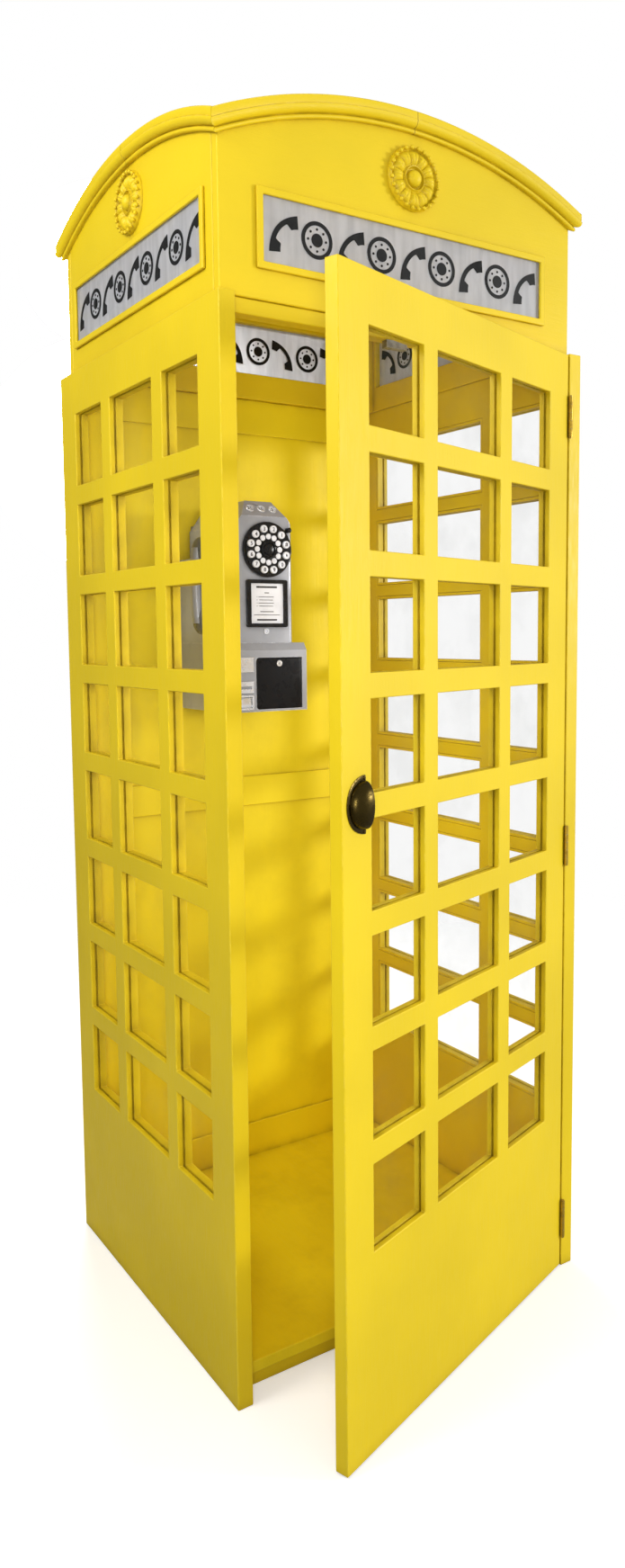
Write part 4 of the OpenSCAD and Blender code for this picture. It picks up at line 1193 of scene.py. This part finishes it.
class KIOSK_OT_handset(bpy.types.Operator):
    """Handset: a bowed grip between two turned cups"""

    bl_idname = "kiosk.handset"
    bl_label = "Handset"

    def execute(self, context):
        low, high = corners("handset")
        r, middle = (high[1] - low[1]) / 2, (high[1] + low[1]) / 2
        ear, mouth = high[2] - r, low[2] + r
        profile = [(0.0, 0.0), (r * 0.78, 0.0), (r * 0.93, -0.001), (r, -0.004), (r, -0.012),
                   (r * 0.97, -0.0125), (r * 0.97, -0.0140), (r * 0.99, -0.0145),
                   (r * 0.94, -0.020), (r * 0.78, -0.0255), (r * 0.5, -0.0290), (0.0, -0.0300)]
        cups = [lathe(profile, 56, (high[0], middle, z), (1, 0, 0)) for z in (ear, mouth)]
        covering("handset_cups", joined(cups), "cup grey", "handset", slot="black_plastic")
        grip = self.grip(low[0] + 0.0125, middle, mouth, ear)
        covering("handset_grip", grip, "enamel", "handset")
        return {"FINISHED"}

    def grip(self, x, y, mouth, ear):
        """An oval of 11.5 by 12.5 mm, swelling towards its ends, carried along a shallow bow."""
        t = np.linspace(0, 1, 41)[:, None]
        a = np.linspace(0, FULL_TURN, 28, endpoint=False)[None, :]
        swell = 1 + 0.35 * (2 * np.abs(t - 0.5)) ** 3
        x = x + 0.004 * (2 * t - 1) ** 2 + 0.0115 * np.cos(a)
        y = y + 0.0125 * swell * np.sin(a)
        z = mouth - 0.006 + (ear - mouth + 0.012) * t + 0 * a
        return capped(np.stack([x, y, z], axis=-1))


class KIOSK_OT_stage(bpy.types.Operator):
    """Pale floor, even studio light and the camera"""

    bl_idname = "kiosk.stage"
    bl_label = "Stage"

    def execute(self, context):
        stage = context.scene.kiosk_stage
        context.scene.view_settings.view_transform = "Standard"
        self.floor()
        self.sky(stage)
        self.lamps()
        self.camera(stage)
        return {"FINISHED"}

    def floor(self):
        """A round pale floor that fades out: rings of points about the origin."""
        ring = turned([(FLOOR_RADIUS, 0)], 64)[0]
        mesh = bpy.data.meshes.new("studio_floor")
        mesh.from_pydata(ring, [], [list(range(len(ring)))])
        material, tree, bsdf = shader("studio_floor", (0.9, 0.9, 0.9), 0.7)
        seen = add(tree, "ShaderNodeLightPath").outputs["Is Camera Ray"]
        tree.links.new(mix(tree, seen, (0.4, 0.4, 0.4), (0.9, 0.9, 0.9)), bsdf.inputs["Base Color"])
        bsdf.inputs["Emission Color"].default_value = (1, 1, 1, 1)
        tree.links.new(ramp(tree, seen, 0, 1, 0, 0.35), bsdf.inputs["Emission Strength"])
        away = vectors(tree, "LENGTH", coordinates(tree))["Value"]
        tree.links.new(ramp(tree, away, *FLOOR_FADE, 1, 0), bsdf.inputs["Alpha"])
        mesh.materials.append(material)
        linked("studio_floor", mesh)

    def sky(self, stage):
        """A white sky, stronger towards the front, behind which the camera sees plain white."""
        world = bpy.data.worlds.new("studio")
        bpy.context.scene.world = world
        world.use_nodes = True
        tree = world.node_tree
        sky = tree.nodes["Background"]
        sky.inputs["Color"].default_value = (1, 1, 1, 1)
        ahead = vectors(tree, "DOT_PRODUCT", coordinates(tree, "Generated"), (0.60, -0.70, 0.38))
        strength = ramp(tree, ahead["Value"], -0.6, 0.9, stage.sky_behind, stage.sky)
        tree.links.new(strength, sky.inputs["Strength"])
        plain = add(tree, "ShaderNodeBackground", Color=(1, 1, 1, 1), Strength=1.0)
        seen = add(tree, "ShaderNodeLightPath").outputs["Is Camera Ray"]
        both = add(tree, "ShaderNodeMixShader", i0=seen, i1=sky.outputs[0], i2=plain.outputs[0])
        tree.links.new(both.outputs[0], tree.nodes["World Output"].inputs["Surface"])

    def lamps(self):
        """Six oval lamps, by place, aim, width, height and power; the one inside isn't seen."""
        for name, spot, aim, width, height, power in (
            ("key", (5.3, -4.6, 2.3), (0, 0, 1.2), 1.3, 1.3, 238),
            ("side", (-2.35, -0.35, 3.0), (-0.4, 0, 2.1), 1.2, 1.2, 41),
            ("doorway", (-1.5, -2.35, 1.45), (-0.1, 0.3, 1.6), 0.6, 0.6, 24),
            ("inside", (-0.05, -0.33, 1.5), (-0.05, 0.4, 1.45), 0.4, 1.6, 1.9),
            ("behind", (0.0, 1.3, 2.7), (0, 0.4, 2.25), 0.5, 0.5, 21),
            ("rear", (1.2, 4.3, 2.6), (0, 0.4, 1.3), 1.4, 1.4, 60),
        ):
            lamp = bpy.data.lights.new(name, "AREA")
            lamp.shape = "ELLIPSE"
            lamp.size = width
            lamp.size_y = height
            lamp.energy = power
            obj = linked(name, lamp)
            obj.visible_camera = obj.visible_glossy = name != "inside"
            obj.matrix_world = looking(spot, np.array(aim) - np.array(spot))

    def camera(self, stage):
        """Aims the camera by yaw, pitch and roll, with its lens shift."""
        yaw, pitch = math.radians(stage.yaw), math.radians(stage.pitch)
        ahead = (math.sin(yaw) * math.cos(pitch), math.cos(yaw) * math.cos(pitch), math.sin(pitch))
        data = bpy.data.cameras.new("view")
        data.lens = stage.lens
        data.sensor_width = 36
        data.shift_x = stage.shift_x
        data.shift_y = stage.shift_y
        data.clip_end = 100
        obj = linked("view", data)
        roll = Matrix.Rotation(math.radians(stage.roll), 4, "Z")
        obj.matrix_world = looking(stage.eye, ahead) @ roll
        bpy.context.scene.camera = obj


def looking(place, ahead):
    """A matrix at a place whose local -Z points ahead and whose X is level."""
    z = -np.array(ahead, float)
    z /= np.linalg.norm(z)
    x = np.cross((0, 0, 1), z)
    x /= np.linalg.norm(x)
    y = np.cross(z, x)
    matrix = np.eye(4)
    matrix[:3, :3] = np.stack([x, y, z], axis=1)
    matrix[:3, 3] = place
    return Matrix(matrix.tolist())


STEPS = (
    KIOSK_OT_stage,
    KIOSK_OT_carcass,
    KIOSK_OT_sign_box,
    KIOSK_OT_signs,
    KIOSK_OT_medallions,
    KIOSK_OT_door,
    KIOSK_OT_hinges,
    KIOSK_OT_cup_pull,
    KIOSK_OT_payphone,
    KIOSK_OT_dial,
    KIOSK_OT_handset,
)


class KIOSK_PT_panel(bpy.types.Panel):
    """Sidebar panel with the sizes, the colours and one button for each step"""

    bl_idname = "KIOSK_PT_panel"
    bl_label = "Telephone Kiosk"
    bl_space_type = "VIEW_3D"
    bl_region_type = "UI"
    bl_category = "Kiosk"

    def draw(self, context):
        """Draws the properties, then the operators in order."""
        for settings in (context.scene.kiosk_sizes, context.scene.kiosk_colours):
            for key in settings.__annotations__:
                self.layout.prop(settings, key)
        for step in STEPS:
            self.layout.operator(step.bl_idname)


CLASSES = (KioskSizes, KioskColours, KioskStage, *STEPS, KIOSK_PT_panel)


def register():
    """Registers the classes and hangs their settings on the scene."""
    for cls in CLASSES:
        bpy.utils.register_class(cls)
    bpy.types.Scene.kiosk_sizes = PointerProperty(type=KioskSizes)
    bpy.types.Scene.kiosk_colours = PointerProperty(type=KioskColours)
    bpy.types.Scene.kiosk_stage = PointerProperty(type=KioskStage)


def unregister():
    """Removes the settings and the classes."""
    for key in ("kiosk_stage", "kiosk_colours", "kiosk_sizes"):
        delattr(bpy.types.Scene, key)
    for cls in reversed(CLASSES):
        bpy.utils.unregister_class(cls)


def main():
    """Builds every piece in order."""
    register()
    for step in STEPS:
        area, name = step.bl_idname.split(".")
        getattr(getattr(bpy.ops, area), name)()


if __name__ == "__main__":
    main()
